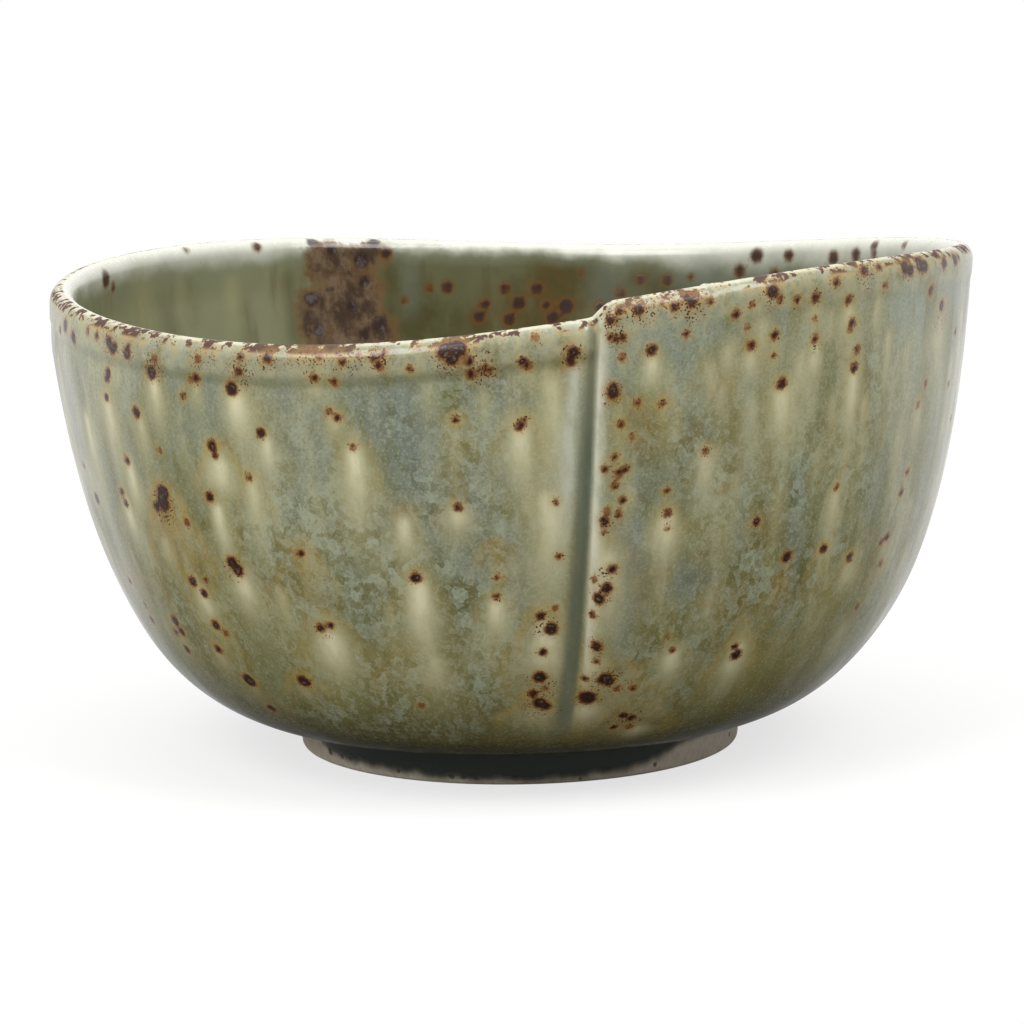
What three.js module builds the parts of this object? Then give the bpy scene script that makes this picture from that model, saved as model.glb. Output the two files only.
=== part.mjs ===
// A lapped stoneware bowl, as a potter joins it before firing: a wall slab wrapped round and lapped over
// its own tail, the flared floor slab that it stands on, and the foot ring luted under the floor.
// Millimetres, +Z up. The origin is on the table under the middle of the bowl, and -Y is the front.
import * as THREE from "three";

// Overall form
const rimRadius = 64.6; // outside, at the mean rim height
const rimHeight = 66.9; // mean height of the rim above the table
const hipRadius = 28.5; // where the hip leaves the flat underside
const bellyPower = 6.1; // how soon the wall turns upright above the hip
const hipPower = 2.28; // how round the hip is
const profileShare = 0.32; // share of the whole swelling curve that the wall uses
const bodyLean = 0.6; // sideways drift of the rim towards -X
const rimTuck = 1.0; // how far the rim is drawn in on the -X side
const tuckHeight = 9; // the drawing-in starts this far below the rim

// Foot ring
const footHeight = 4.4;
const footRadius = 31.5; // outside, at the joint with the floor
const footOffset = 0.6; // the ring sits this far towards +X of the middle
const footTaper = 0.5; // how much smaller the foot is at the table
const footWidth = 4.3; // across the face that stands on the table, chamfers included
const footInnerTaper = 0.7;
const footChamfer = 0.6;

// Floor slab
const floorThickness = 4.2; // at the middle
const dishRise = 1.9; // from the middle of the floor up to the seam with the wall
const underEdge = 0.15; // height of the edge where the flat underside turns into the hip

// Wall slab
const rimThickness = 3.2;
const hipThickness = 4.2;
const lipRise = 2.1; // height of the rounded lip
const bandHeight = 4.4; // the slightly proud band below the rim
const bandProud = 0.35; // beside the groove
const bandAtFreeEnd = 0.09; // the band is nearly flush there
const bandBlend = 1.4;

// Rim line: slow waves in its height, as [waves in a turn, swing in mm, angle of one crest in degrees]
const rimWaves = [
  [1, 1.77, -34],
  [2, 2.39, -30],
  [3, 0.23, 54],
  [4, 0.35, 30],
];
const rimStep = 2.0; // the free end stands this much higher than the tail that it covers

// Lap: the free end of the slab, the groove beside it and the tail inside
const lapAngle = -79.7; // degrees, of the free edge's foot at the rim
const lapLean = 1.3; // how far the lap drifts sideways from the rim down to the floor slab
const lapStep = 1.7; // how far the free end stands proud of the tail
const lapFadeHeight = 26; // the step is full above this height and dies out at the floor slab
const edgeRound = 2.4; // width of the free edge's soft shoulder
const cornerRound = 2.6; // width of its top corner
const grooveDepth = 0.5;
const grooveWidth = 2.6; // low down
const grooveAtRim = 1.2; // and up at the rim
const grooveFlare = 42; // height over which it widens
const swellProud = 0.35; // soft bulge of the tail beside the groove
const swellWidth = 9.0;
const overlapLength = 15; // how far the tail runs on inside
const tailRound = 2.4; // rounding of the tail's own end
const ledgeRound = 1.6; // rounding of the tail's own rim

// Fineness
const turnSteps = 76;
const outerRows = 17;
const lipRows = 6;
const innerRows = 13;
const latheSteps = 84;
const dishSteps = 9;

const floorTop = footHeight + floorThickness;
const seamHeight = floorTop + dishRise; // where the wall stands on the floor slab

const degrees = Math.PI / 180;
const smooth = (x) => {
  const t = Math.min(Math.max(x, 0), 1);
  return t * t * (3 - 2 * t);
};
// Rises soon and then rolls over slowly, as the free end's edge does
const soonSmooth = (x) => smooth(Math.min(Math.max(x, 0), 1) ** 0.65);
// A quarter circle from 0 to 1, steep at first
const quarterRound = (x) => Math.sqrt(1 - (1 - Math.min(Math.max(x, 0), 1)) ** 2);

// The outside of the wall and hip as a radius at a height, before the lap is added
function swell(share) {
  const left = Math.max(1 - share * profileShare, 0);
  return (1 - left ** bellyPower) ** (1 / hipPower);
}

function outerRadius(z) {
  const share = Math.max(z - footHeight, 0) / (rimHeight - footHeight);
  return hipRadius + ((rimRadius - hipRadius) * swell(share)) / swell(1);
}

function outerSlope(z) {
  const step = 0.01;
  return (outerRadius(z + step) - outerRadius(z)) / step;
}

function thickness(z) {
  const share = Math.min((z - footHeight) / (rimHeight - footHeight), 1);
  return hipThickness + (rimThickness - hipThickness) * share;
}

// The height on the outside that lies square behind a height on the inside
function heightBehind(z) {
  let low = footHeight;
  let high = z;
  for (let i = 0; i < 40; i++) {
    const h = (low + high) / 2;
    const slope = outerSlope(h);
    const reached = h + (slope * thickness(h)) / Math.hypot(1, slope);
    if (reached < z) low = h;
    else high = h;
  }
  return low;
}

// The inside follows the outside at the slab's thickness, measured square to the wall
function innerRadius(z) {
  const behind = heightBehind(z);
  return outerRadius(behind) - thickness(behind) / Math.hypot(1, outerSlope(behind));
}

// Share of a turn from the free edge, 0 at the edge and nearly 1 at the groove
function turnShare(angle) {
  const turn = (angle - lapAngle) / 360;
  return turn - Math.floor(turn);
}

// Distance along the wall from the free edge: positive on the free end, negative on the tail
function fromEdge(angle, radius) {
  const share = turnShare(angle);
  return (share > 0.5 ? share - 1 : share) * 2 * Math.PI * radius;
}

function grooveAt(z) {
  return grooveAtRim + (grooveWidth - grooveAtRim) * smooth((rimHeight - z) / grooveFlare);
}

function lapAt(z) {
  return smooth((z - seamHeight) / (lapFadeHeight - seamHeight));
}

// The wall is twisted a little on its way down, so that the lap leans
function leanTurn(z) {
  const share = Math.min(Math.max((z - seamHeight) / (rimHeight - seamHeight), 0), 1);
  return (lapLean * (1 - share ** 2)) / rimRadius;
}

function rimLine(angle) {
  const waves = rimWaves.map(([count, swing, crest]) => swing * Math.cos(count * (angle - crest) * degrees));
  return rimHeight + waves.reduce((sum, wave) => sum + wave, 0);
}

function rimTop(angle) {
  const ramp = rimStep * (0.5 - turnShare(angle));
  const along = fromEdge(angle, rimRadius);
  const corner = along >= 0 ? rimStep * (soonSmooth(along / cornerRound) - 1) : 0;
  return rimLine(angle) + ramp + corner;
}

function tuck(angle, z) {
  const facing = Math.max(-Math.cos(angle * degrees), 0);
  return rimTuck * facing ** 2 * smooth((z - rimTop(angle) + tuckHeight) / tuckHeight);
}

function outerFace(angle, z) {
  const radius = outerRadius(z);
  const along = fromEdge(angle, radius);
  const spiral = lapStep * (0.5 - turnShare(angle));
  let lap = spiral;
  if (along >= 0) {
    lap -= (lapStep + grooveDepth) * (1 - soonSmooth(along / edgeRound));
  } else {
    const width = grooveAt(z);
    lap -= grooveDepth * (1 - smooth(-along / width));
    lap += swellProud * smooth(-along / width) * (1 - smooth((-along - width) / swellWidth));
  }
  const proud = bandAtFreeEnd + (bandProud - bandAtFreeEnd) * turnShare(angle);
  const belowRim = rimTop(angle) - z;
  const band = proud * (1 - smooth((belowRim - bandHeight + bandBlend / 2) / bandBlend));
  return radius + lap * lapAt(z) + band - tuck(angle, z);
}

function innerFace(angle, z) {
  const tailEnd = lapAngle + (overlapLength / (rimRadius - rimThickness)) / degrees;
  const turn = (angle - tailEnd) / 360;
  const share = turn - Math.floor(turn);
  const pastEnd = share * 2 * Math.PI * (rimRadius - rimThickness);
  const along = fromEdge(angle, rimRadius);
  let lap = lapStep * (0.5 - share);
  lap -= lapStep * (1 - quarterRound(pastEnd / tailRound));
  if (along > 0 && along < overlapLength) {
    const tailRim = rimTop(angle) - rimStep;
    const ledge = smooth((z - tailRim + ledgeRound) / ledgeRound) * soonSmooth(along / cornerRound);
    lap += lapStep * ledge;
  }
  return innerRadius(z) + lap * lapAt(z) - tuck(angle, z);
}

// One upright section of the wall: up the outside, over the lip, down the inside
function wallSection(angle) {
  const top = rimTop(angle);
  const shoulder = top - lipRise;
  const points = [];
  for (let i = 0; i <= outerRows; i++) {
    const share = i / outerRows;
    const z = seamHeight + (shoulder - seamHeight) * share;
    points.push([outerFace(angle, z), z]);
  }
  const outer = outerFace(angle, shoulder);
  const inner = innerFace(angle, shoulder);
  const middle = (outer + inner) / 2;
  const half = (outer - inner) / 2;
  for (let i = 1; i < lipRows; i++) {
    const turn = (Math.PI * i) / lipRows;
    points.push([middle + half * Math.cos(turn), shoulder + lipRise * Math.sin(turn)]);
  }
  for (let i = 0; i <= innerRows; i++) {
    const z = shoulder + (seamHeight - shoulder) * (i / innerRows);
    points.push([innerFace(angle, z), z]);
  }
  return points;
}

// The angles of the sections: even steps, with closer ones at the free edge and at the tail's end
function sectionAngles() {
  const atEdge = [-1, -0.75, -0.5, -0.25].map((share) => share * grooveWidth);
  const onEdge = [0, 0.1, 0.25, 0.45, 0.7, 1].map((share) => share * edgeRound);
  const atTail = [0, 0.06, 0.25, 0.6, 1].map((share) => overlapLength + share * tailRound);
  const close = [...atEdge, ...onEdge, ...atTail].map((along) => along / rimRadius / degrees);
  const room = 360 / turnSteps / 2;
  const even = Array.from({ length: turnSteps }, (_, i) => (360 * i) / turnSteps);
  const distance = (a, b) => Math.abs(((((a - b) % 360) + 540) % 360) - 180);
  const kept = even.filter((turn) => close.every((other) => distance(turn, other) > room));
  const turns = [...kept, ...close].map((turn) => (turn + 360) % 360);
  return turns.sort((a, b) => a - b).map((turn) => lapAngle + turn);
}

function lappedWall() {
  const angles = sectionAngles();
  const positions = [];
  for (const angle of angles) {
    for (const [radius, z] of wallSection(angle)) {
      const drift = (bodyLean * (z - seamHeight)) / (rimHeight - seamHeight);
      const turn = angle * degrees - leanTurn(z);
      positions.push(radius * Math.cos(turn) - drift, radius * Math.sin(turn), z);
    }
  }
  const perSection = positions.length / 3 / angles.length;
  const faces = [];
  for (let i = 0; i < angles.length; i++) {
    const next = (i + 1) % angles.length;
    for (let j = 0; j < perSection; j++) {
      const above = (j + 1) % perSection;
      const a = i * perSection + j;
      const b = next * perSection + j;
      const c = next * perSection + above;
      const d = i * perSection + above;
      faces.push(a, b, c, a, c, d);
    }
  }
  const geometry = new THREE.BufferGeometry();
  geometry.setAttribute("position", new THREE.Float32BufferAttribute(positions, 3));
  geometry.setIndex(faces);
  geometry.computeVertexNormals();
  return geometry;
}

// A turned piece from its profile of [radius, height] points
function turned(profile) {
  const points = profile.map(([radius, z]) => new THREE.Vector2(radius, z));
  return new THREE.LatheGeometry(points, latheSteps).rotateX(Math.PI / 2);
}

// The floor slab: flat underneath, its edge flared along the hip, its top dished to run into the wall
function floorSlab() {
  const seamInner = innerRadius(seamHeight);
  const seamSlope = 1 / outerSlope(heightBehind(seamHeight));
  const dishPower = Math.max((seamSlope * seamInner) / dishRise, 2);
  const profile = [[0, footHeight], [outerRadius(footHeight + underEdge), footHeight]];
  for (const share of [0.08, 0.2, 0.4, 0.65, 1]) {
    const z = footHeight + (seamHeight - footHeight) * share;
    profile.push([outerRadius(z), z]);
  }
  for (let i = 0; i < dishSteps; i++) {
    const share = Math.cos((Math.PI / 2) * (i / dishSteps));
    profile.push([seamInner * share, floorTop + dishRise * share ** dishPower]);
  }
  profile.push([0, floorTop]);
  return turned(profile);
}

function footRing() {
  const outerFoot = footRadius - footTaper;
  const innerFoot = outerFoot - footWidth;
  return turned([
    [innerFoot + footChamfer, 0],
    [outerFoot - footChamfer, 0],
    [outerFoot - footChamfer * 0.3, footChamfer * 0.3],
    [outerFoot, footChamfer],
    [footRadius, footHeight],
    [innerFoot - footInnerTaper, footHeight],
    [innerFoot, footChamfer],
    [innerFoot + footChamfer * 0.3, footChamfer * 0.3],
    [innerFoot + footChamfer, 0],
  ]);
}

const glaze = new THREE.MeshStandardMaterial({ color: 0x8f9476, roughness: 0.28, metalness: 0 });
const floorGlaze = new THREE.MeshStandardMaterial({ color: 0x5f6a4e, roughness: 0.25, metalness: 0 });
const bareClay = new THREE.MeshStandardMaterial({ color: 0x9a8572, roughness: 0.8, metalness: 0 });

function piece(name, geometry, material) {
  const mesh = new THREE.Mesh(geometry, material);
  mesh.name = name;
  return mesh;
}

const bowl = new THREE.Group();
bowl.add(piece("lapped_wall", lappedWall(), glaze));
bowl.add(piece("floor_slab", floorSlab(), floorGlaze));
const foot = piece("foot_ring", footRing(), bareClay);
foot.position.x = footOffset;
bowl.add(foot);

export default bowl;
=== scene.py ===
import math

import bpy
import numpy as np
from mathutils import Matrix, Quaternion, Vector


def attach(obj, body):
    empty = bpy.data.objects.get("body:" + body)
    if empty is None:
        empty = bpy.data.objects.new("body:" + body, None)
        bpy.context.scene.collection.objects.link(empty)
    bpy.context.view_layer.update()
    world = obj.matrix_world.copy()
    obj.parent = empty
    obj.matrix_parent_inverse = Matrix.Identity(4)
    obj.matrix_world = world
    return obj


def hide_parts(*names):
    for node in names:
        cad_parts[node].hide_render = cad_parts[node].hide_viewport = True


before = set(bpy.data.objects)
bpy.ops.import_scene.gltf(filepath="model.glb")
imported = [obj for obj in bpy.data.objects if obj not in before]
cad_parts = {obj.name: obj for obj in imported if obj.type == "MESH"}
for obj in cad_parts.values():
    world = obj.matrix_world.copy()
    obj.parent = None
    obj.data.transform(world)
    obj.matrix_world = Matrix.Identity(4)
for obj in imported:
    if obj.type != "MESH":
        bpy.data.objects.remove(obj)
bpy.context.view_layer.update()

mm = 0.001
seed = 11
flowRadius = 50  # how wide in mm the glaze's own noise is wrapped round the bowl


def smooth(x):
    t = np.clip(x, 0, 1)
    return t * t * (3 - 2 * t)


# Rises soon and then rolls over slowly, as the free end's edge does
def soonSmooth(x):
    return smooth(np.clip(x, 0, 1) ** 0.65)


def quarterRound(x):
    return np.sqrt(1 - (1 - np.clip(x, 0, 1)) ** 2)


# The clay body, the same sizes as the CAD
body = {
    "rimRadius": 64.6,
    "rimHeight": 66.9,
    "hipRadius": 28.5,
    "bellyPower": 6.1,
    "hipPower": 2.28,
    "profileShare": 0.32,
    "lean": 0.6,
    "rimTuck": 1.0,
    "tuckHeight": 9,
    "footHeight": 4.4,
    "floorThickness": 4.2,
    "dishRise": 1.9,
    "underEdge": 0.15,
    "rimThickness": 3.2,
    "hipThickness": 4.2,
    "lipRise": 2.1,
    "bandHeight": 4.4,
    "bandProud": 0.35,
    "bandAtFreeEnd": 0.09,
    "bandBlend": 1.4,
    # waves in one turn, swing and the angle of a crest
    "rimWaves": [(1, 1.77, -34), (2, 2.39, -30), (3, 0.23, 54), (4, 0.35, 30)],
    "rimStep": 2.0,
}

lap = {
    "angle": -79.7,
    "lean": 1.3,
    "step": 1.7,
    "fadeHeight": 26,
    "edgeRound": 2.4,
    "cornerRound": 2.6,
    "grooveDepth": 0.5,
    "grooveWidth": 2.6,
    "grooveAtRim": 1.2,
    "grooveFlare": 42,
    "swellProud": 0.35,
    "swellWidth": 9.0,
    "overlap": 15,
    "tailRound": 2.4,
    "ledgeRound": 1.6,
}

foot = {
    "radius": 31.5,
    "offset": 0.6,
    "taper": 0.5,
    "width": 4.3,
    "innerTaper": 0.7,
    "chamfer": 0.6,
    # angle and height of the line down to which the dark glaze runs
    "glazeLine": [
        (-180, 3.4), (-162, 4.4), (-150, 2.8), (-143, 1.6), (-128, 1.3), (-110, 0.9), (-85, 0.7),
        (-62, 1.2), (-52, 2.4), (-42, 3.9), (-30, 4.4), (-12, 4.2), (15, 2.4), (60, 1.5), (110, 1.3),
        (140, 1.8), (160, 2.6),
    ],
    # angle, height and radius of the brown specks in its clay
    "specks": [
        (-147.7, 1.9, 0.45), (-142.2, 1.7, 0.3), (-138.7, 1.8, 0.35), (-130.4, 2.0, 0.4),
        (-122.4, 1.2, 0.3), (-107.6, 1.1, 0.35), (-104.4, 1.2, 0.4), (-101.3, 1.0, 0.25),
        (-53.8, 1.2, 0.3), (-75.0, 0.5, 0.2), (-20.0, 2.0, 0.3), (20.0, 1.2, 0.4), (66.0, 0.8, 0.3),
        (98.0, 1.0, 0.4), (131.0, 1.4, 0.3), (168.0, 2.2, 0.4),
    ],
}

# Steps between the points of the wall, close where the marks are small
grid = {
    "fine": 0.66,
    "coarse": 1.0,
    "atLap": 0.3,
    "lapReach": 5,
    "front": 99,  # the fine stretch runs this far each way from the free edge
    "lipRows": 14,
    "hipRows": 22,
    "underRows": 9,
    "dishRows": 34,
    "footEdgeRows": 6,
    "footWallRows": 19,
    "footInnerRows": 9,
    "footTurn": 0.45,  # degrees
}

floorTop = body["footHeight"] + body["floorThickness"]
seamHeight = floorTop + body["dishRise"]


def swell(share):
    left = np.maximum(1 - share * body["profileShare"], 0)
    return (1 - left ** body["bellyPower"]) ** (1 / body["hipPower"])


def outerRadius(z):
    share = np.maximum(z - body["footHeight"], 0) / (body["rimHeight"] - body["footHeight"])
    return body["hipRadius"] + (body["rimRadius"] - body["hipRadius"]) * swell(share) / swell(1)


def outerSlope(z):
    step = 0.01
    return (outerRadius(z + step) - outerRadius(z)) / step


def thickness(z):
    share = np.minimum((z - body["footHeight"]) / (body["rimHeight"] - body["footHeight"]), 1)
    return body["hipThickness"] + (body["rimThickness"] - body["hipThickness"]) * share


def heightBehind(z):
    z = np.asarray(z, float)
    low = np.full(z.shape, float(body["footHeight"]))
    high = z.copy()
    for _ in range(40):
        h = (low + high) / 2
        slope = outerSlope(h)
        short = h + slope * thickness(h) / np.hypot(1, slope) < z
        low = np.where(short, h, low)
        high = np.where(short, high, h)
    return low


def innerRadius(z):
    behind = heightBehind(z)
    return outerRadius(behind) - thickness(behind) / np.hypot(1, outerSlope(behind))


def turnShare(angle):
    turn = (angle - lap["angle"]) / 360
    return turn - np.floor(turn)


def fromEdge(angle, radius):
    share = turnShare(angle)
    return np.where(share > 0.5, share - 1, share) * 2 * math.pi * radius


def lapAt(z):
    return smooth((z - seamHeight) / (lap["fadeHeight"] - seamHeight))


def climb(z):
    return np.maximum(z - seamHeight, 0) / (body["rimHeight"] - seamHeight)


def leanTurn(z):
    return np.degrees(lap["lean"] * (1 - np.minimum(climb(z), 1) ** 2) / body["rimRadius"])


def rimTop(angle):
    line = body["rimHeight"] + 0 * angle
    for count, swing, crest in body["rimWaves"]:
        line = line + swing * np.cos(np.radians(count * (angle - crest)))
    along = fromEdge(angle, body["rimRadius"])
    corner = np.where(along >= 0, body["rimStep"] * (soonSmooth(along / lap["cornerRound"]) - 1), 0)
    return line + body["rimStep"] * (0.5 - turnShare(angle)) + corner


def tuck(angle, z):
    facing = np.maximum(-np.cos(np.radians(angle)), 0)
    nearRim = smooth((z - rimTop(angle) + body["tuckHeight"]) / body["tuckHeight"])
    return body["rimTuck"] * facing ** 2 * nearRim


def grooveWidth(z):
    share = smooth((body["rimHeight"] - z) / lap["grooveFlare"])
    return lap["grooveAtRim"] + (lap["grooveWidth"] - lap["grooveAtRim"]) * share


def outerFace(angle, z):
    radius = outerRadius(z)
    along = fromEdge(angle, radius)
    width = grooveWidth(z)
    onFreeEnd = (lap["step"] + lap["grooveDepth"]) * (soonSmooth(along / lap["edgeRound"]) - 1)
    inGroove = -lap["grooveDepth"] * (1 - smooth(-along / width))
    past = smooth((-along - width) / lap["swellWidth"])
    swelling = lap["swellProud"] * smooth(-along / width) * (1 - past)
    lapping = lap["step"] * (0.5 - turnShare(angle)) + np.where(along >= 0, onFreeEnd, inGroove + swelling)
    intoBand = (rimTop(angle) - z - body["bandHeight"]) / body["bandBlend"] + 0.5
    proud = body["bandAtFreeEnd"] + (body["bandProud"] - body["bandAtFreeEnd"]) * turnShare(angle)
    return radius + lapping * lapAt(z) + proud * (1 - smooth(intoBand)) - tuck(angle, z)


def innerFace(angle, z):
    innerRim = body["rimRadius"] - body["rimThickness"]
    tailEnd = lap["angle"] + math.degrees(lap["overlap"] / innerRim)
    turn = (angle - tailEnd) / 360
    share = turn - np.floor(turn)
    pastEnd = share * 2 * math.pi * innerRim
    along = fromEdge(angle, body["rimRadius"])
    lapping = lap["step"] * (0.5 - share) - lap["step"] * (1 - quarterRound(pastEnd / lap["tailRound"]))
    tailRim = rimTop(angle) - body["rimStep"]
    ledge = smooth((z - tailRim + lap["ledgeRound"]) / lap["ledgeRound"])
    ledge = ledge * soonSmooth(along / lap["cornerRound"])
    onTail = (along > 0) & (along < lap["overlap"])
    lapping = lapping + np.where(onTail, lap["step"] * ledge, 0)
    return innerRadius(z) + lapping * lapAt(z) - tuck(angle, z)


def place(angle, radius, z):
    turn = np.radians(angle - leanTurn(z))
    x = radius * np.cos(turn) - body["lean"] * climb(z)
    return np.stack([x, radius * np.sin(turn), z + 0 * turn], -1)


# Distance up the outside from the foot, so that rows and drips are measured along the clay
profileHeights = np.linspace(body["footHeight"], body["rimHeight"] + 9, 1500)
profileSteps = np.hypot(np.diff(outerRadius(profileHeights)), np.diff(profileHeights))
profileLengths = np.concatenate([[0], np.cumsum(profileSteps)])


def upOutside(z):
    return np.interp(z, profileHeights, profileLengths)


def evenRows(low, high, step):
    start, end = upOutside(low), upOutside(high)
    rows = int(round((end - start) / step)) + 1
    heights = np.interp(np.linspace(start, end, rows), profileLengths, profileHeights)
    return (heights - low) / (high - low)


def sectionAngles():
    wholeTurn = 2 * math.pi * body["rimRadius"]
    reach, tail, front = grid["lapReach"], lap["overlap"], grid["front"]
    stretches = [
        (-front, -reach, grid["fine"]),
        (-reach, reach, grid["atLap"]),
        (reach, tail - 2, grid["fine"]),
        (tail - 2, tail + 4, grid["atLap"]),
        (tail + 4, front, grid["fine"]),
        (front, wholeTurn - front, grid["coarse"]),
    ]
    along = np.concatenate([np.arange(start, end - step / 2, step) for start, end, step in stretches])
    return lap["angle"] + np.degrees(along / body["rimRadius"])


# Each section runs up the outside, over the lip and down the inside
def wallSections(angles):
    turns = angles[:, None]
    shoulder = rimTop(angles)[:, None] - body["lipRise"]
    rise = shoulder - seamHeight
    up = seamHeight + rise * evenRows(seamHeight, body["rimHeight"], grid["fine"])[None, :]
    down = seamHeight + rise * evenRows(seamHeight, body["rimHeight"], grid["coarse"])[None, ::-1]
    outside = place(turns, outerFace(turns, up), up)
    outer, inner = outerFace(turns, shoulder), innerFace(turns, shoulder)
    roll = np.pi * np.arange(1, grid["lipRows"])[None, :] / grid["lipRows"]
    lipRadius = (outer + inner) / 2 + (outer - inner) / 2 * np.cos(roll)
    lip = place(turns, lipRadius, shoulder + body["lipRise"] * np.sin(roll))
    inside = place(turns, innerFace(turns, down), down)
    return np.concatenate([outside, lip, inside], 1), up.shape[1]


# Under the floor, round the hip, then over the dished top
def floorSections(angles):
    turns = angles[:, None]
    low, high = body["footHeight"], seamHeight
    start = low + body["underEdge"] * 0.4
    rowStep = (upOutside(high) - upOutside(start)) / grid["hipRows"]
    hip = start + (high - start) * evenRows(start, high, rowStep)
    hipPart = place(turns, outerRadius(hip)[None, :], hip[None, :])
    under = np.linspace(0, 1, grid["underRows"])[None, 1:] * outerRadius(hip[0])
    underPart = place(turns, under, low + 0 * under)
    seamInner = innerRadius(high)
    power = max(float(seamInner / outerSlope(heightBehind(high)) / body["dishRise"]), 2)
    share = np.cos(np.pi / 2 * np.linspace(0, 1, grid["dishRows"]))[None, :-1]
    dish = place(turns, seamInner * share, floorTop + body["dishRise"] * share ** power)
    return np.concatenate([underPart, hipPart, dish], 1), underPart.shape[1], hipPart.shape[1]


# Normals of the true surface, so that no shading seam shows where the wall stands on the floor slab
def gridNormals(points, stretches=()):
    around = np.roll(points, -1, 0) - np.roll(points, 1, 0)
    edges = [0, *stretches, points.shape[1]]
    up = np.concatenate([np.gradient(points[:, a:b], axis=1) for a, b in zip(edges, edges[1:])], 1)
    normal = np.cross(around, up)
    return normal / np.maximum(np.linalg.norm(normal, axis=-1, keepdims=True), 1e-9)


# A closed skin over the sections; each extra point closes one end with a fan
def gridMesh(name, points, extra=None, closeRows=True):
    columns, rows = points.shape[:2]
    first = np.arange(columns)[:, None] * rows
    second = (np.arange(columns)[:, None] + 1) % columns * rows
    row = np.arange(rows if closeRows else rows - 1)[None, :]
    above = (row + 1) % rows
    quads = np.stack([first + row, second + row, second + above, first + above], -1).reshape(-1, 4)
    vertices = points.reshape(-1, 3)
    faces = quads.tolist()
    if extra:
        vertices = np.concatenate([vertices, np.array([point for point, _, _ in extra], float)])
        for i, (_, at, flip) in enumerate(extra):
            centre = columns * rows + i
            ring = (np.arange(columns) * rows + at).tolist()
            for a, b in zip(ring, ring[1:] + ring[:1]):
                faces.append([b, a, centre] if flip else [a, b, centre])
    mesh = bpy.data.meshes.new(name)
    mesh.from_pydata((vertices * mm).tolist(), [], faces)
    mesh.validate()
    mesh.update()
    return mesh


angles = sectionAngles()
wallPoints, wallRows = wallSections(angles)
floorPoints, underRows, hipRows = floorSections(angles)
print("sections:", wallPoints.shape, floorPoints.shape)


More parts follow.
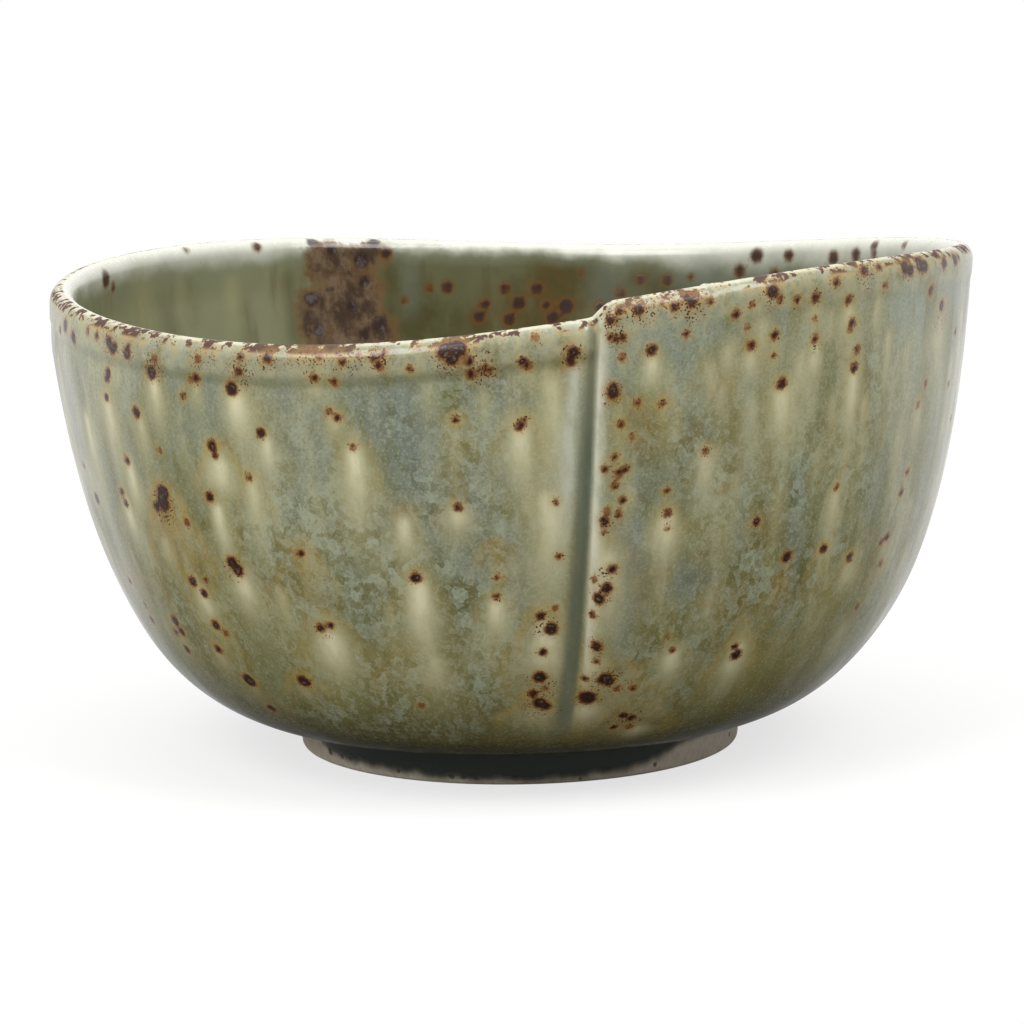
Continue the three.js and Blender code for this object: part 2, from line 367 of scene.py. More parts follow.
# Marks of the glaze on the outside, each found by its angle round the bowl and its height
outsideMarks = {
    # angle, height, radius of the iron spots
    "spots": [
        (-161.5, 43.0, 0.5), (-158.8, 38.8, 0.8), (-156.5, 27.5, 0.5), (-154.7, 22.2, 0.7),
        (-154.2, 24.4, 0.3), (-159.2, 62.6, 0.9), (-155.9, 61.3, 0.9), (-150.9, 62.8, 0.45),
        (-148.3, 62.4, 0.5), (-162.0, 61.6, 0.6), (-148.4, 41.3, 0.5), (-148.0, 39.7, 0.5),
        (-147.4, 54.3, 0.5), (-146.3, 57.7, 0.6), (-146.6, 56.9, 0.55), (-145.2, 61.9, 0.8),
        (-144.5, 61.1, 0.8), (-143.8, 61.4, 0.6), (-141.2, 60.8, 0.75), (-140.7, 61.8, 0.35),
        (-145.0, 46.0, 0.5), (-140.8, 53.0, 0.8), (-136.8, 58.7, 1.0), (-135.8, 60.6, 0.4),
        (-134.1, 30.8, 0.3), (-138.3, 42.4, 1.2), (-138.7, 41.0, 1.3), (-140.3, 40.2, 0.7),
        (-134.7, 38.7, 0.4), (-137.3, 48.2, 0.25), (-145.5, 23.5, 0.8), (-145.0, 22.0, 0.6),
        (-147.2, 21.5, 0.5), (-146.4, 19.2, 0.6), (-133.0, 12.1, 0.7), (-136.9, 30.3, 0.7),
        (-135.2, 28.8, 0.6), (-135.3, 24.3, 0.7), (-133.8, 23.3, 0.4), (-137.2, 20.6, 0.6),
        (-133.5, 16.4, 1.1), (-127.8, 49.8, 0.7), (-127.5, 48.6, 0.4), (-129.5, 42.8, 0.65),
        (-128.2, 34.0, 0.85), (-127.4, 33.0, 0.85), (-131.5, 56.1, 0.35), (-129.0, 58.7, 0.55),
        (-130.0, 58.3, 0.25), (-128.3, 61.2, 0.35), (-123.7, 57.6, 0.9), (-122.4, 60.0, 0.5),
        (-122.0, 61.9, 0.3), (-118.3, 61.9, 0.65), (-117.8, 62.8, 0.35), (-120.2, 52.0, 0.6),
        (-122.8, 46.0, 0.35), (-122.3, 17.6, 0.85), (-117.0, 36.2, 0.4), (-121.6, 17.4, 0.5),
        (-114.3, 63.2, 0.5), (-113.2, 63.3, 0.8), (-111.7, 62.9, 0.5), (-111.5, 62.3, 0.3),
        (-112.3, 59.6, 0.5), (-110.0, 59.2, 0.45), (-110.9, 55.3, 0.3), (-109.9, 54.6, 0.35),
        (-116.4, 25.8, 0.6), (-114.8, 26.3, 0.4), (-109.3, 63.0, 0.35), (-108.7, 61.8, 0.45),
        (-106.7, 62.8, 0.3), (-104.9, 62.4, 0.5), (-104.4, 61.4, 0.5), (-103.8, 63.0, 0.4),
        (-108.3, 50.8, 0.25), (-102.0, 33.6, 0.7), (-100.8, 61.0, 0.35), (-99.8, 64.0, 0.4),
        (-96.6, 63.4, 1.2), (-95.3, 63.7, 1.2), (-96.0, 62.4, 0.9), (-94.0, 62.0, 0.6),
        (-93.9, 60.3, 0.5), (-92.3, 61.2, 0.45), (-91.7, 60.8, 0.35), (-96.1, 43.1, 0.45),
        (-95.9, 54.5, 0.35), (-92.0, 30.9, 0.4), (-91.7, 33.6, 0.25), (-88.0, 61.9, 0.5),
        (-87.4, 61.3, 0.45), (-88.6, 53.5, 0.55), (-88.0, 54.3, 0.3), (-86.6, 65.0, 0.35),
        (-82.3, 62.9, 0.75), (-82.6, 61.8, 0.6), (-84.5, 43.6, 0.25), (-84.1, 36.3, 0.25),
        (-86.3, 28.2, 0.55), (-85.0, 26.4, 0.9), (-86.0, 23.1, 0.5), (-86.4, 19.5, 0.9),
        (-85.6, 17.8, 0.3), (-87.4, 17.0, 0.6), (-86.3, 15.5, 1.0), (-85.6, 15.0, 0.8),
        (-104.0, 15.1, 0.25), (-84.5, 29.3, 0.2), (-78.3, 66.9, 0.6), (-77.3, 68.1, 0.5),
        (-75.1, 68.2, 0.7), (-74.8, 68.9, 0.4), (-72.4, 69.0, 0.35), (-71.0, 68.3, 0.6),
        (-73.4, 69.2, 0.3), (-69.4, 69.5, 0.7), (-68.9, 68.6, 0.7), (-68.5, 69.6, 0.4),
        (-66.7, 68.6, 0.3), (-77.8, 64.7, 0.4), (-77.0, 64.7, 0.4), (-78.4, 64.8, 0.3),
        (-77.0, 62.2, 0.35), (-73.6, 62.9, 0.7), (-69.5, 64.7, 0.35), (-78.0, 57.6, 0.75),
        (-78.1, 58.5, 0.5), (-75.2, 56.2, 0.35), (-72.3, 56.0, 0.3), (-77.1, 53.6, 0.35),
        (-75.8, 51.9, 0.2), (-77.8, 49.4, 0.3), (-78.9, 47.8, 0.3), (-77.3, 47.3, 0.4),
        (-76.6, 47.8, 0.4), (-77.7, 45.7, 0.3), (-76.7, 43.7, 0.4), (-78.5, 42.4, 0.3),
        (-77.2, 41.9, 0.3), (-78.8, 41.0, 0.5), (-78.9, 39.6, 0.2), (-71.2, 41.6, 0.5),
        (-71.1, 39.6, 0.2), (-71.4, 44.5, 0.3), (-66.7, 49.4, 0.35), (-77.7, 34.5, 0.6),
        (-79.7, 33.1, 0.3), (-78.3, 32.0, 0.7), (-79.2, 30.6, 0.8), (-79.7, 28.2, 0.4),
        (-79.1, 23.8, 0.7), (-78.9, 21.6, 0.3), (-77.4, 18.9, 1.0), (-76.6, 18.4, 0.7),
        (-80.1, 19.0, 0.3), (-75.3, 17.3, 0.4), (-73.0, 17.2, 0.4), (-79.4, 16.1, 1.2),
        (-73.0, 12.8, 0.6), (-71.6, 12.3, 0.6), (-73.9, 10.9, 0.4), (-71.2, 10.7, 0.4),
        (-63.5, 66.8, 0.5), (-62.0, 65.0, 0.3), (-61.5, 67.9, 0.3), (-61.4, 62.6, 0.6),
        (-58.3, 63.6, 0.5), (-58.3, 61.0, 0.25), (-58.8, 69.3, 0.9), (-57.8, 68.3, 0.5),
        (-55.4, 68.0, 0.4), (-52.7, 67.9, 0.6), (-52.6, 65.2, 0.15), (-52.4, 62.6, 0.5),
        (-57.0, 57.3, 0.7), (-47.4, 67.1, 0.6), (-46.6, 64.1, 0.5), (-46.8, 63.2, 0.3),
        (-45.4, 60.5, 0.45), (-45.7, 58.2, 0.7), (-59.0, 39.3, 0.5), (-53.4, 33.8, 0.7),
        (-46.7, 42.4, 0.35), (-47.2, 34.1, 0.6), (-68.4, 22.5, 0.25), (-69.5, 24.6, 0.2),
        (-58.6, 21.9, 0.4), (-57.8, 20.6, 0.8), (-49.6, 69.6, 0.5), (-41.0, 68.4, 0.4),
        (-36.8, 70.4, 0.9), (-35.6, 69.8, 0.8), (-33.2, 70.4, 1.2), (-32.2, 70.0, 0.9),
        (-26.4, 69.8, 0.9), (-22.2, 69.8, 1.0), (-20.3, 70.0, 0.6), (-30.0, 66.5, 0.7),
        (-44.7, 70.8, 0.8), (-42.0, 71.0, 0.6), (-26.3, 64.0, 0.7), (-19.3, 59.6, 0.5),
        (-20.0, 52.4, 0.4), (-29.2, 53.9, 0.35), (-30.9, 51.2, 0.4), (-31.0, 42.2, 0.4),
        (-31.7, 39.5, 0.5), (-32.9, 33.5, 0.5), (-34.2, 33.0, 0.4), (-32.6, 29.8, 0.4),
        (-41.3, 32.0, 0.6), (-35.0, 24.1, 0.35), (-15.0, 47.0, 0.5),
    ],
    # angle, height, reach and density of patches of fine flecks
    "flecks": [
        (-145.0, 61.3, 2.5, 0.7), (-141.0, 61.0, 1.8, 0.7), (-136.4, 59.5, 2.2, 0.8),
        (-135.5, 62.8, 2.0, 0.5), (-128.4, 61.3, 1.8, 0.6), (-126.5, 61.0, 1.6, 0.4),
        (-129.3, 58.5, 1.2, 0.6), (-122.3, 60.2, 2.0, 0.8), (-121.8, 59.0, 1.5, 0.7),
        (-118.3, 62.0, 2.0, 0.7), (-115.3, 61.5, 1.4, 0.4), (-112.5, 63.0, 3.0, 0.7),
        (-108.3, 62.3, 2.2, 0.8), (-104.3, 62.3, 2.0, 0.8), (-103.7, 60.0, 1.5, 0.3),
        (-96.0, 62.8, 2.6, 0.8), (-92.6, 61.0, 2.4, 0.8), (-96.5, 60.5, 1.6, 0.4),
        (-87.7, 61.7, 1.3, 0.5), (-86.5, 64.7, 1.3, 0.5), (-82.4, 62.4, 1.6, 0.9),
        (-86.0, 26.8, 2.2, 0.6), (-86.2, 18.0, 3.0, 0.5), (-86.0, 15.0, 2.8, 0.6),
        (-78.2, 66.9, 1.6, 1.0), (-77.4, 68.0, 1.4, 0.8), (-75.0, 68.3, 2.0, 0.9),
        (-74.6, 66.5, 1.5, 0.4), (-72.5, 69.0, 1.5, 0.6), (-71.0, 68.3, 1.6, 0.8),
        (-69.0, 68.7, 2.2, 1.0), (-69.2, 67.3, 1.6, 0.7), (-66.7, 68.5, 1.0, 0.5),
        (-77.6, 64.8, 1.5, 0.9), (-78.0, 57.6, 1.4, 0.9), (-78.9, 56.0, 0.8, 0.4),
        (-78.3, 48.0, 1.6, 0.3), (-78.5, 41.0, 1.4, 0.5), (-78.6, 34.0, 1.6, 0.5),
        (-78.8, 31.0, 1.8, 0.6), (-79.2, 23.8, 1.4, 0.7), (-77.0, 18.7, 2.2, 0.8),
        (-79.3, 16.0, 2.0, 0.8), (-74.5, 17.3, 2.0, 0.5), (-72.3, 12.2, 2.4, 0.8),
        (-58.7, 68.8, 1.8, 0.8), (-52.7, 67.9, 1.3, 0.8), (-55.6, 67.0, 1.0, 0.5),
        (-49.6, 69.6, 1.2, 0.6), (-44.5, 70.6, 2.2, 0.8), (-41.0, 68.3, 1.0, 0.6),
        (-36.5, 70.2, 2.0, 0.8), (-33.0, 70.3, 2.0, 0.8), (-26.5, 69.6, 1.6, 0.7),
        (-57.0, 57.3, 1.2, 0.5), (-52.2, 61.5, 1.0, 0.6), (-46.8, 63.5, 0.9, 0.5),
        (-62.0, 62.3, 1.0, 0.4), (-138.8, 40.2, 2.6, 0.9), (-128.0, 33.0, 1.8, 0.8),
        (-129.5, 42.8, 1.1, 0.6), (-116.0, 25.5, 1.6, 0.5), (-58.0, 20.8, 1.4, 0.5),
        (-133.5, 16.2, 1.5, 0.5), (-122.0, 17.3, 1.4, 0.4), (-30.0, 66.4, 1.2, 0.6),
        (-26.3, 62.6, 2.2, 0.6), (-22.0, 69.6, 2.0, 0.7), (-155.9, 61.5, 1.6, 0.6),
        (-159.0, 62.4, 1.6, 0.6),
    ],
    # angle, top, length and width of the pale drips, and how creamy and how ochre each is
    "drips": [
        (-159.0, 44.0, 7, 4.0, 0.35, 0.2), (-155.0, 51.0, 12, 3.5, 0.8, 0.1),
        (-147.4, 54.6, 10, 4.0, 0.8, 0.2), (-144.6, 46.2, 8, 3.2, 0.9, 0.2),
        (-147.8, 40.5, 8, 4.0, 0.85, 0.4), (-140.2, 53.0, 9, 3.2, 0.6, 0.2),
        (-137.9, 41.0, 15, 7.0, 0.15, 1.0), (-140.5, 36.0, 6, 3.0, 0.5, 0.3),
        (-134.7, 38.5, 5, 2.5, 0.3, 0.6), (-136.5, 58.2, 7, 3.4, 0.85, 0.2),
        (-129.2, 58.0, 5, 2.5, 0.5, 0.0), (-127.0, 48.6, 6, 4.8, 1.0, 0.9),
        (-128.6, 42.0, 10, 3.0, 0.9, 0.5), (-127.2, 33.4, 9, 4.5, 0.9, 0.6),
        (-135.6, 29.8, 7, 4.2, 0.9, 0.7), (-135.0, 24.0, 6, 3.0, 0.3, 0.7),
        (-137.3, 20.5, 4, 3.0, 0.4, 0.6), (-133.3, 16.0, 5, 4.0, 0.3, 0.5),
        (-146.0, 23.0, 7, 4.0, 0.2, 0.5), (-128.0, 40.0, 8, 3.0, 0.5, 0.0),
        (-123.3, 57.6, 7, 4.0, 0.95, 0.1), (-119.6, 51.8, 7, 3.2, 0.8, 0.1),
        (-122.5, 46.0, 11, 3.6, 0.7, 0.8), (-117.0, 36.5, 9, 4.5, 0.1, 0.8),
        (-121.3, 31.0, 8, 3.5, 0.5, 0.5), (-115.4, 26.3, 10, 6.0, 0.95, 0.7),
        (-122.2, 18.0, 4, 4.0, 0.3, 0.9), (-112.3, 59.5, 3, 2.5, 0.6, 0.0),
        (-110.3, 55.0, 4, 3.0, 0.6, 0.2), (-108.2, 51.2, 13, 4.0, 0.9, 0.4),
        (-109.6, 47.0, 16, 3.0, 0.3, 0.0), (-102.8, 41.8, 8, 3.5, 0.8, 0.5),
        (-101.8, 33.6, 14, 4.5, 1.0, 0.4), (-100.8, 23.0, 9, 5.0, 0.6, 0.1),
        (-96.1, 43.4, 4, 3.2, 0.9, 0.3), (-95.9, 54.5, 12, 3.0, 0.2, 0.5),
        (-106.0, 30.0, 16, 2.5, 0.3, 0.4), (-92.1, 31.0, 7, 3.4, 0.9, 0.5),
        (-91.8, 37.5, 5, 3.5, 0.0, 0.6), (-88.5, 54.2, 11, 4.5, 0.8, 0.5),
        (-87.6, 61.5, 3, 2.5, 0.5, 0.0), (-93.3, 27.0, 8, 4.0, 0.35, 0.2),
        (-84.8, 60.0, 24, 4.8, 0.6, 0.1), (-85.2, 45.0, 20, 5.6, 0.75, 0.2),
        (-85.7, 27.5, 13, 5.6, 0.95, 0.9), (-86.3, 15.5, 5, 6.0, 0.7, 1.0),
        (-84.6, 56.0, 12, 3.4, 0.45, 0.0), (-82.6, 63.6, 4, 3.0, 0.2, 0.9),
        (-77.3, 57.0, 30, 2.6, 0.35, 0.1), (-73.5, 62.5, 6, 3.0, 0.8, 0.1),
        (-72.2, 56.5, 5, 2.5, 0.3, 0.6), (-71.2, 41.6, 7, 4.0, 0.95, 0.2),
        (-66.7, 49.6, 12, 3.5, 0.6, 0.3), (-76.0, 19.5, 6, 7.0, 0.5, 1.0),
        (-79.2, 15.6, 5, 5.0, 0.9, 0.9), (-74.0, 17.6, 4, 5.0, 0.3, 0.8),
        (-78.2, 37.0, 15, 5.4, 0.75, 0.6), (-78.6, 22.0, 7, 4.4, 0.7, 0.6),
        (-71.7, 13.2, 5, 7.0, 0.4, 1.0), (-69.5, 10.8, 3, 4.0, 0.8, 0.3), (-72.0, 33.0, 8, 3.0, 0.2, 0.4),
        (-68.2, 22.8, 6, 4.0, 0.9, 0.5), (-61.4, 62.3, 5, 3.5, 0.7, 0.1), (-65.0, 58.0, 7, 3.0, 0.4, 0.4),
        (-58.3, 63.3, 4, 2.5, 0.4, 0.1), (-57.0, 57.3, 9, 4.0, 0.8, 0.1), (-52.4, 62.3, 6, 3.0, 0.8, 0.1),
        (-47.2, 66.8, 6, 4.0, 0.7, 0.0), (-52.7, 67.5, 4, 3.0, 0.6, 0.1),
        (-45.8, 58.2, 13, 3.5, 0.8, 0.5), (-46.7, 42.4, 9, 3.2, 0.6, 0.2),
        (-47.2, 34.2, 6, 2.4, 0.4, 0.9), (-57.8, 22.4, 8, 4.4, 0.95, 0.9),
        (-58.6, 25.5, 5, 2.2, 0.2, 0.7), (-53.5, 31.5, 7, 2.0, 0.0, 0.6), (-55.5, 28.0, 7, 2.0, 0.0, 0.3),
        (-41.2, 32.0, 6, 3.5, 0.6, 0.6), (-39.0, 58.0, 18, 3.0, 0.3, 0.1),
        (-42.0, 67.0, 8, 2.5, 0.4, 0.0), (-35.5, 60.0, 14, 3.0, 0.35, 0.0),
        (-30.5, 51.2, 6, 4.0, 0.5, 0.3), (-32.7, 33.2, 5, 3.0, 0.4, 0.4), (-32.5, 29.7, 5, 3.0, 0.3, 0.5),
        (-26.3, 63.5, 9, 4.5, 0.6, 0.4), (-20.0, 56.0, 10, 3.0, 0.5, 0.1),
        (-28.0, 38.0, 8, 3.0, 0.3, 0.2), (-24.0, 30.0, 10, 4.0, 0.4, 0.3),
        (-20.0, 48.0, 8, 3.0, 0.4, 0.1), (-151.0, 33.0, 10, 3.5, 0.3, 0.2),
        (-156.0, 29.0, 6, 4.0, 0.2, 0.5), (-132.5, 51.0, 10, 3.0, 0.35, 0.0),
        (-113.5, 44.0, 9, 2.6, 0.3, 0.0), (-99.0, 60.0, 8, 3.0, 0.35, 0.0),
        (-92.5, 58.0, 8, 3.0, 0.35, 0.0), (-119.5, 44.0, 8, 3.0, 0.25, 0.2),
        (-105.5, 22.0, 7, 3.5, 0.2, 0.5), (-62.6, 46.0, 12, 2.4, 0.35, 0.1),
        (-56.0, 44.0, 10, 2.4, 0.35, 0.1), (-50.0, 66.0, 5, 2.4, 0.4, 0.0),
        (-64.5, 30.0, 8, 3.0, 0.3, 0.3), (-51.0, 22.0, 6, 4.0, 0.2, 0.5),
        (-44.0, 26.0, 8, 4.0, 0.25, 0.3), (-178.0, 58.0, 16, 3.0, 0.6, 0.1),
        (-175.0, 48.0, 18, 3.0, 0.6, 0.2), (-172.0, 57.0, 20, 2.6, 0.6, 0.3),
        (-170.0, 34.0, 12, 3.0, 0.6, 0.3), (-168.0, 50.0, 16, 2.6, 0.7, 0.3),
        (-165.0, 58.0, 12, 2.6, 0.6, 0.2), (-163.0, 34.0, 12, 3.0, 0.5, 0.5),
        (-64.5, 63.0, 7, 3.0, 0.5, 0.1), (-61.0, 56.0, 9, 3.5, 0.5, 0.2),
        (-54.5, 61.0, 8, 3.0, 0.45, 0.1), (-49.0, 55.0, 10, 3.0, 0.4, 0.1),
        (-35.0, 50.0, 14, 3.0, 0.4, 0.2), (-16.0, 62.0, 16, 2.8, 0.6, 0.2),
        (-12.0, 52.0, 18, 2.8, 0.55, 0.2), (-16.0, 40.0, 14, 3.0, 0.5, 0.3),
        (-8.0, 60.0, 16, 2.8, 0.5, 0.1), (-36.5, 22.0, 8, 4.0, 0.4, 0.3), (-68.5, 16.0, 6, 4.0, 0.3, 0.4),
        (-60.0, 66.0, 8, 3.4, 0.5, 0.1), (-55.8, 57.0, 9, 3.6, 0.45, 0.2),
        (-66.4, 61.0, 7, 3.6, 0.5, 0.2), (-43.4, 54.0, 12, 2.8, 0.5, 0.2),
        (-39.5, 62.0, 12, 2.6, 0.5, 0.1), (-50.5, 48.0, 8, 3.0, 0.4, 0.1),
    ],
    # angle, top, bottom, width and strength of cool grey streaks, where the glaze lies thick and milky
    "cool": [
        (-75.0, 42, 11, 2.8, 0.9), (-68.0, 36, 30, 4.0, 0.9), (-67.4, 58, 42, 4.5, 0.8),
        (-75.4, 33, 18, 3.0, 0.7), (-61.5, 62, 32, 2.4, 0.6), (-53.2, 47, 33, 3.2, 0.8),
        (-51.6, 36, 24, 2.6, 0.6), (-38.0, 47, 36, 4.0, 0.5), (-33.0, 46, 40, 3.0, 0.5),
        (-70.5, 62, 54, 3.0, 0.4), (-64.6, 34, 15, 3.0, 0.5), (-119.0, 53, 34, 3.0, 0.6),
        (-112.6, 56, 38, 2.8, 0.6), (-126.6, 61, 52, 4.0, 0.6), (-99.0, 55, 36, 3.6, 0.7),
        (-94.3, 50, 30, 3.8, 0.7), (-90.8, 62, 44, 2.8, 0.6), (-105.8, 60, 50, 5.0, 0.5),
        (-105.3, 44, 34, 2.6, 0.5), (-116.5, 60, 48, 3.5, 0.4), (-132.0, 52, 40, 3.0, 0.4),
        (-143.0, 50, 44, 3.0, 0.4), (-151.5, 47, 38, 2.6, 0.5), (-96.6, 30, 16, 4.5, 0.4),
        (-110.0, 30, 17, 5.0, 0.4), (-89.6, 40, 18, 3.2, 0.6), (-125.5, 28, 18, 3.0, 0.3),
        (-93.5, 16, 10, 3.0, 0.6), (-83.6, 18, 8, 4.0, 0.7), (-66.0, 16, 9, 4.0, 0.4),
        (-50.0, 24, 16, 5.0, 0.4), (-111.5, 19, 13, 4.0, 0.4), (-158.0, 58, 50, 3.0, 0.4),
        (-24.0, 50, 36, 3.0, 0.4), (-101.5, 60, 44, 5.5, 0.9), (-170.0, 62, 36, 2.4, 0.7),
        (-161.0, 56, 40, 2.4, 0.5), (-18.5, 60, 40, 2.4, 0.6),
    ],
    # the same for olive streaks, where it is clear and dark
    "deep": [
        (-125.3, 52, 45, 2.6, 0.7), (-121.6, 34, 28, 4.0, 0.8), (-108.2, 41, 28, 3.0, 0.6),
        (-98.4, 34, 24, 3.0, 0.8), (-91.6, 38, 34, 2.6, 0.7), (-112.0, 22, 12, 6.0, 0.6),
        (-103.0, 44, 41, 2.6, 0.7), (-119.0, 38, 28, 4.0, 0.5), (-131.0, 40, 20, 4.0, 0.5),
        (-129.0, 26, 14, 5.0, 0.5), (-142.0, 36, 26, 4.0, 0.4), (-66.0, 63, 50, 4.0, 0.5),
        (-73.4, 58, 42, 3.0, 0.7), (-68.8, 56, 44, 2.6, 0.5), (-63.6, 60, 46, 2.8, 0.5),
        (-58.4, 54, 28, 2.6, 0.7), (-50.2, 62, 28, 3.0, 0.7), (-43.6, 62, 46, 2.0, 0.5),
        (-43.2, 44, 30, 2.6, 0.5), (-40.0, 27, 14, 5.0, 0.5), (-60.5, 36, 24, 2.6, 0.6),
        (-66.4, 46, 34, 3.0, 0.6), (-72.6, 36, 22, 2.6, 0.6), (-63.0, 24, 12, 4.0, 0.5),
        (-70.0, 24, 14, 3.0, 0.7), (-64.5, 22, 10, 6.0, 0.6), (-49.0, 26, 14, 5.0, 0.5),
        (-36.0, 58, 48, 2.6, 0.4), (-55.0, 44, 32, 2.4, 0.5), (-95.4, 20, 13, 5.0, 0.6),
        (-105.0, 19, 12, 6.0, 0.6), (-118.5, 20, 12, 5.0, 0.6), (-126.0, 22, 12, 4.0, 0.5),
        (-138.0, 52, 46, 3.0, 0.4), (-131.6, 58, 54, 3.0, 0.4), (-84.0, 62, 58, 3.0, 0.5),
        (-28.0, 48, 34, 3.0, 0.3), (-176.5, 60, 36, 2.2, 0.6), (-173.5, 60, 30, 2.2, 0.7),
        (-166.5, 60, 36, 2.0, 0.6), (-163.5, 54, 28, 2.4, 0.6), (-158.0, 40, 20, 2.6, 0.8),
        (-153.0, 38, 16, 3.0, 0.8), (-150.0, 50, 24, 2.4, 0.8), (-143.4, 40, 18, 2.8, 0.8),
        (-141.4, 30, 13, 3.0, 0.8), (-134.6, 34, 20, 2.6, 0.7), (-130.6, 30, 14, 3.0, 0.7),
        (-155.6, 58, 46, 2.2, 0.7), (-161.5, 38, 20, 3.0, 0.8), (-166.0, 44, 24, 2.6, 0.7),
        (-125.0, 44, 34, 2.4, 0.5), (-113.6, 36, 26, 2.4, 0.5), (-22.5, 60, 30, 2.2, 0.5),
        (-14.0, 62, 30, 2.0, 0.6), (-10.0, 58, 30, 2.0, 0.6), (-39.0, 62, 44, 2.2, 0.5),
    ],
}

# Broad grounds: angle, height, reach and strength
grounds = {
    # where the glaze is milky and pale
    "light": [
        (-152, 54, 14, 0.8), (-162, 40, 10, 0.6), (-118, 54, 9, 1.0), (-59, 51, 11, 1.0),
        (-47, 60, 11, 1.0), (-34, 58, 9, 0.6), (-14, 50, 12, 0.7), (-128, 46, 5, 0.4), (20, 55, 20, 0.6),
        (80, 50, 18, 0.6), (-36, 20, 8, 0.5), (-140, 20, 6, 0.5), (-106, 44, 6, 0.4), (130, 56, 18, 0.7),
        (170, 48, 16, 0.6),
    ],
    # where the glaze is yellow and olive
    "warm": [
        (-62, 52, 13, 0.7), (-60, 34, 14, 0.9), (-46, 50, 12, 0.6), (-44, 30, 14, 0.8), (-72, 52, 6, 0.7),
        (-71, 27, 6, 0.8), (-56, 17, 14, 0.9), (-30, 40, 16, 0.6), (-76, 15, 6, 0.6), (-86, 20, 5, 0.7),
        (-116, 20, 12, 0.8), (-101, 21, 10, 0.8), (-126, 28, 11, 0.7), (-104, 34, 6, 0.5),
        (-122, 34, 6, 0.6), (-138, 26, 14, 0.8), (-152, 30, 14, 0.6), (-137, 40, 6, 0.6),
        (-148, 52, 8, 0.4), (-119, 60, 5, 0.4), (-102, 42, 3, 0.6), (-92, 36, 3, 0.7), (-109, 54, 4, 0.4),
        (-92, 62, 5, 0.5), (-82, 61, 3, 0.6), (30, 35, 30, 0.6), (70, 25, 25, 0.7), (110, 45, 25, 0.5),
        (150, 28, 25, 0.8), (100, 15, 20, 0.7),
    ],
    # where frosty flakes lie in it
    "flaky": [
        (-105, 30, 24, 1.0), (-119, 36, 16, 0.9), (-94, 46, 16, 0.8), (-92, 24, 12, 1.0),
        (-138, 26, 16, 0.6), (-70, 20, 12, 0.7), (-54, 36, 16, 0.8), (-44, 48, 14, 0.7),
        (-110, 12, 16, 0.8), (-66, 46, 12, 0.7), (-30, 25, 18, 0.4), (20, 30, 26, 0.8), (65, 35, 24, 0.9),
        (110, 30, 26, 1.0), (155, 35, 26, 0.8),
    ],
}

# Soft smudges: angle, height, reach and strength
stains = {
    # brown and ochre ones
    "brown": [
        (-121.5, 31.5, 2.2, 0.6), (-117.2, 37.0, 2.0, 0.4), (-125.2, 50.4, 1.6, 0.5),
        (-102.6, 42.8, 1.8, 0.4), (-92.0, 37.2, 1.8, 0.5), (-109.0, 18.6, 3.0, 0.7),
        (-98.0, 14.0, 4.0, 0.6), (-104.0, 11.5, 3.0, 0.6), (-84.6, 44.2, 1.2, 0.4),
        (-86.2, 29.6, 1.6, 0.6), (-107.0, 51.4, 1.2, 0.5), (-75.0, 54.0, 2.0, 0.8),
        (-74.6, 50.5, 2.0, 0.6), (-68.4, 51.2, 1.5, 0.6), (-64.5, 58.6, 2.0, 0.5),
        (-60.2, 61.4, 2.4, 0.6), (-66.9, 35.4, 1.4, 0.9), (-70.7, 33.6, 1.2, 0.8),
        (-58.0, 38.5, 3.4, 0.4), (-60.5, 28.5, 3.4, 0.8), (-53.6, 30.5, 1.8, 0.7),
        (-54.0, 27.0, 1.8, 0.5), (-45.0, 45.0, 1.6, 0.7), (-47.2, 48.0, 1.4, 0.4),
        (-58.7, 24.6, 1.4, 0.6), (-44.4, 52.0, 1.6, 0.5), (-72.3, 55.6, 1.2, 0.6),
        (-64.0, 46.0, 3.0, 0.3), (-26.5, 62.3, 1.8, 0.9), (-79.0, 16.6, 3.0, 0.6),
        (-76.6, 18.2, 2.6, 0.7), (-72.4, 11.6, 3.4, 0.7), (-86.2, 16.6, 3.0, 0.7),
        (-140.0, 38.0, 2.4, 0.5), (-137.6, 36.0, 2.6, 0.6), (-95.0, 63.4, 3.0, 0.6),
        (-82.6, 62.4, 1.6, 0.6), (-100.6, 30.0, 1.4, 0.3), (-69.0, 68.6, 2.0, 0.5),
        (-112.0, 62.6, 2.4, 0.4),
    ],
    # blue-grey shadows in the glaze
    "blue": [
        (-67.6, 32.6, 3.0, 0.9), (-74.6, 35.0, 2.4, 0.5), (-74.5, 30.0, 2.6, 0.6),
        (-74.3, 25.0, 2.6, 0.6), (-83.0, 63.5, 1.4, 0.7), (-89.0, 56.0, 2.0, 0.3),
        (-75.4, 30.0, 2.4, 0.4), (-93.4, 45.0, 2.6, 0.4), (-113.0, 40.0, 3.0, 0.4),
        (-105.0, 56.0, 4.0, 0.4), (-115.5, 57.0, 3.0, 0.4),
    ],
}

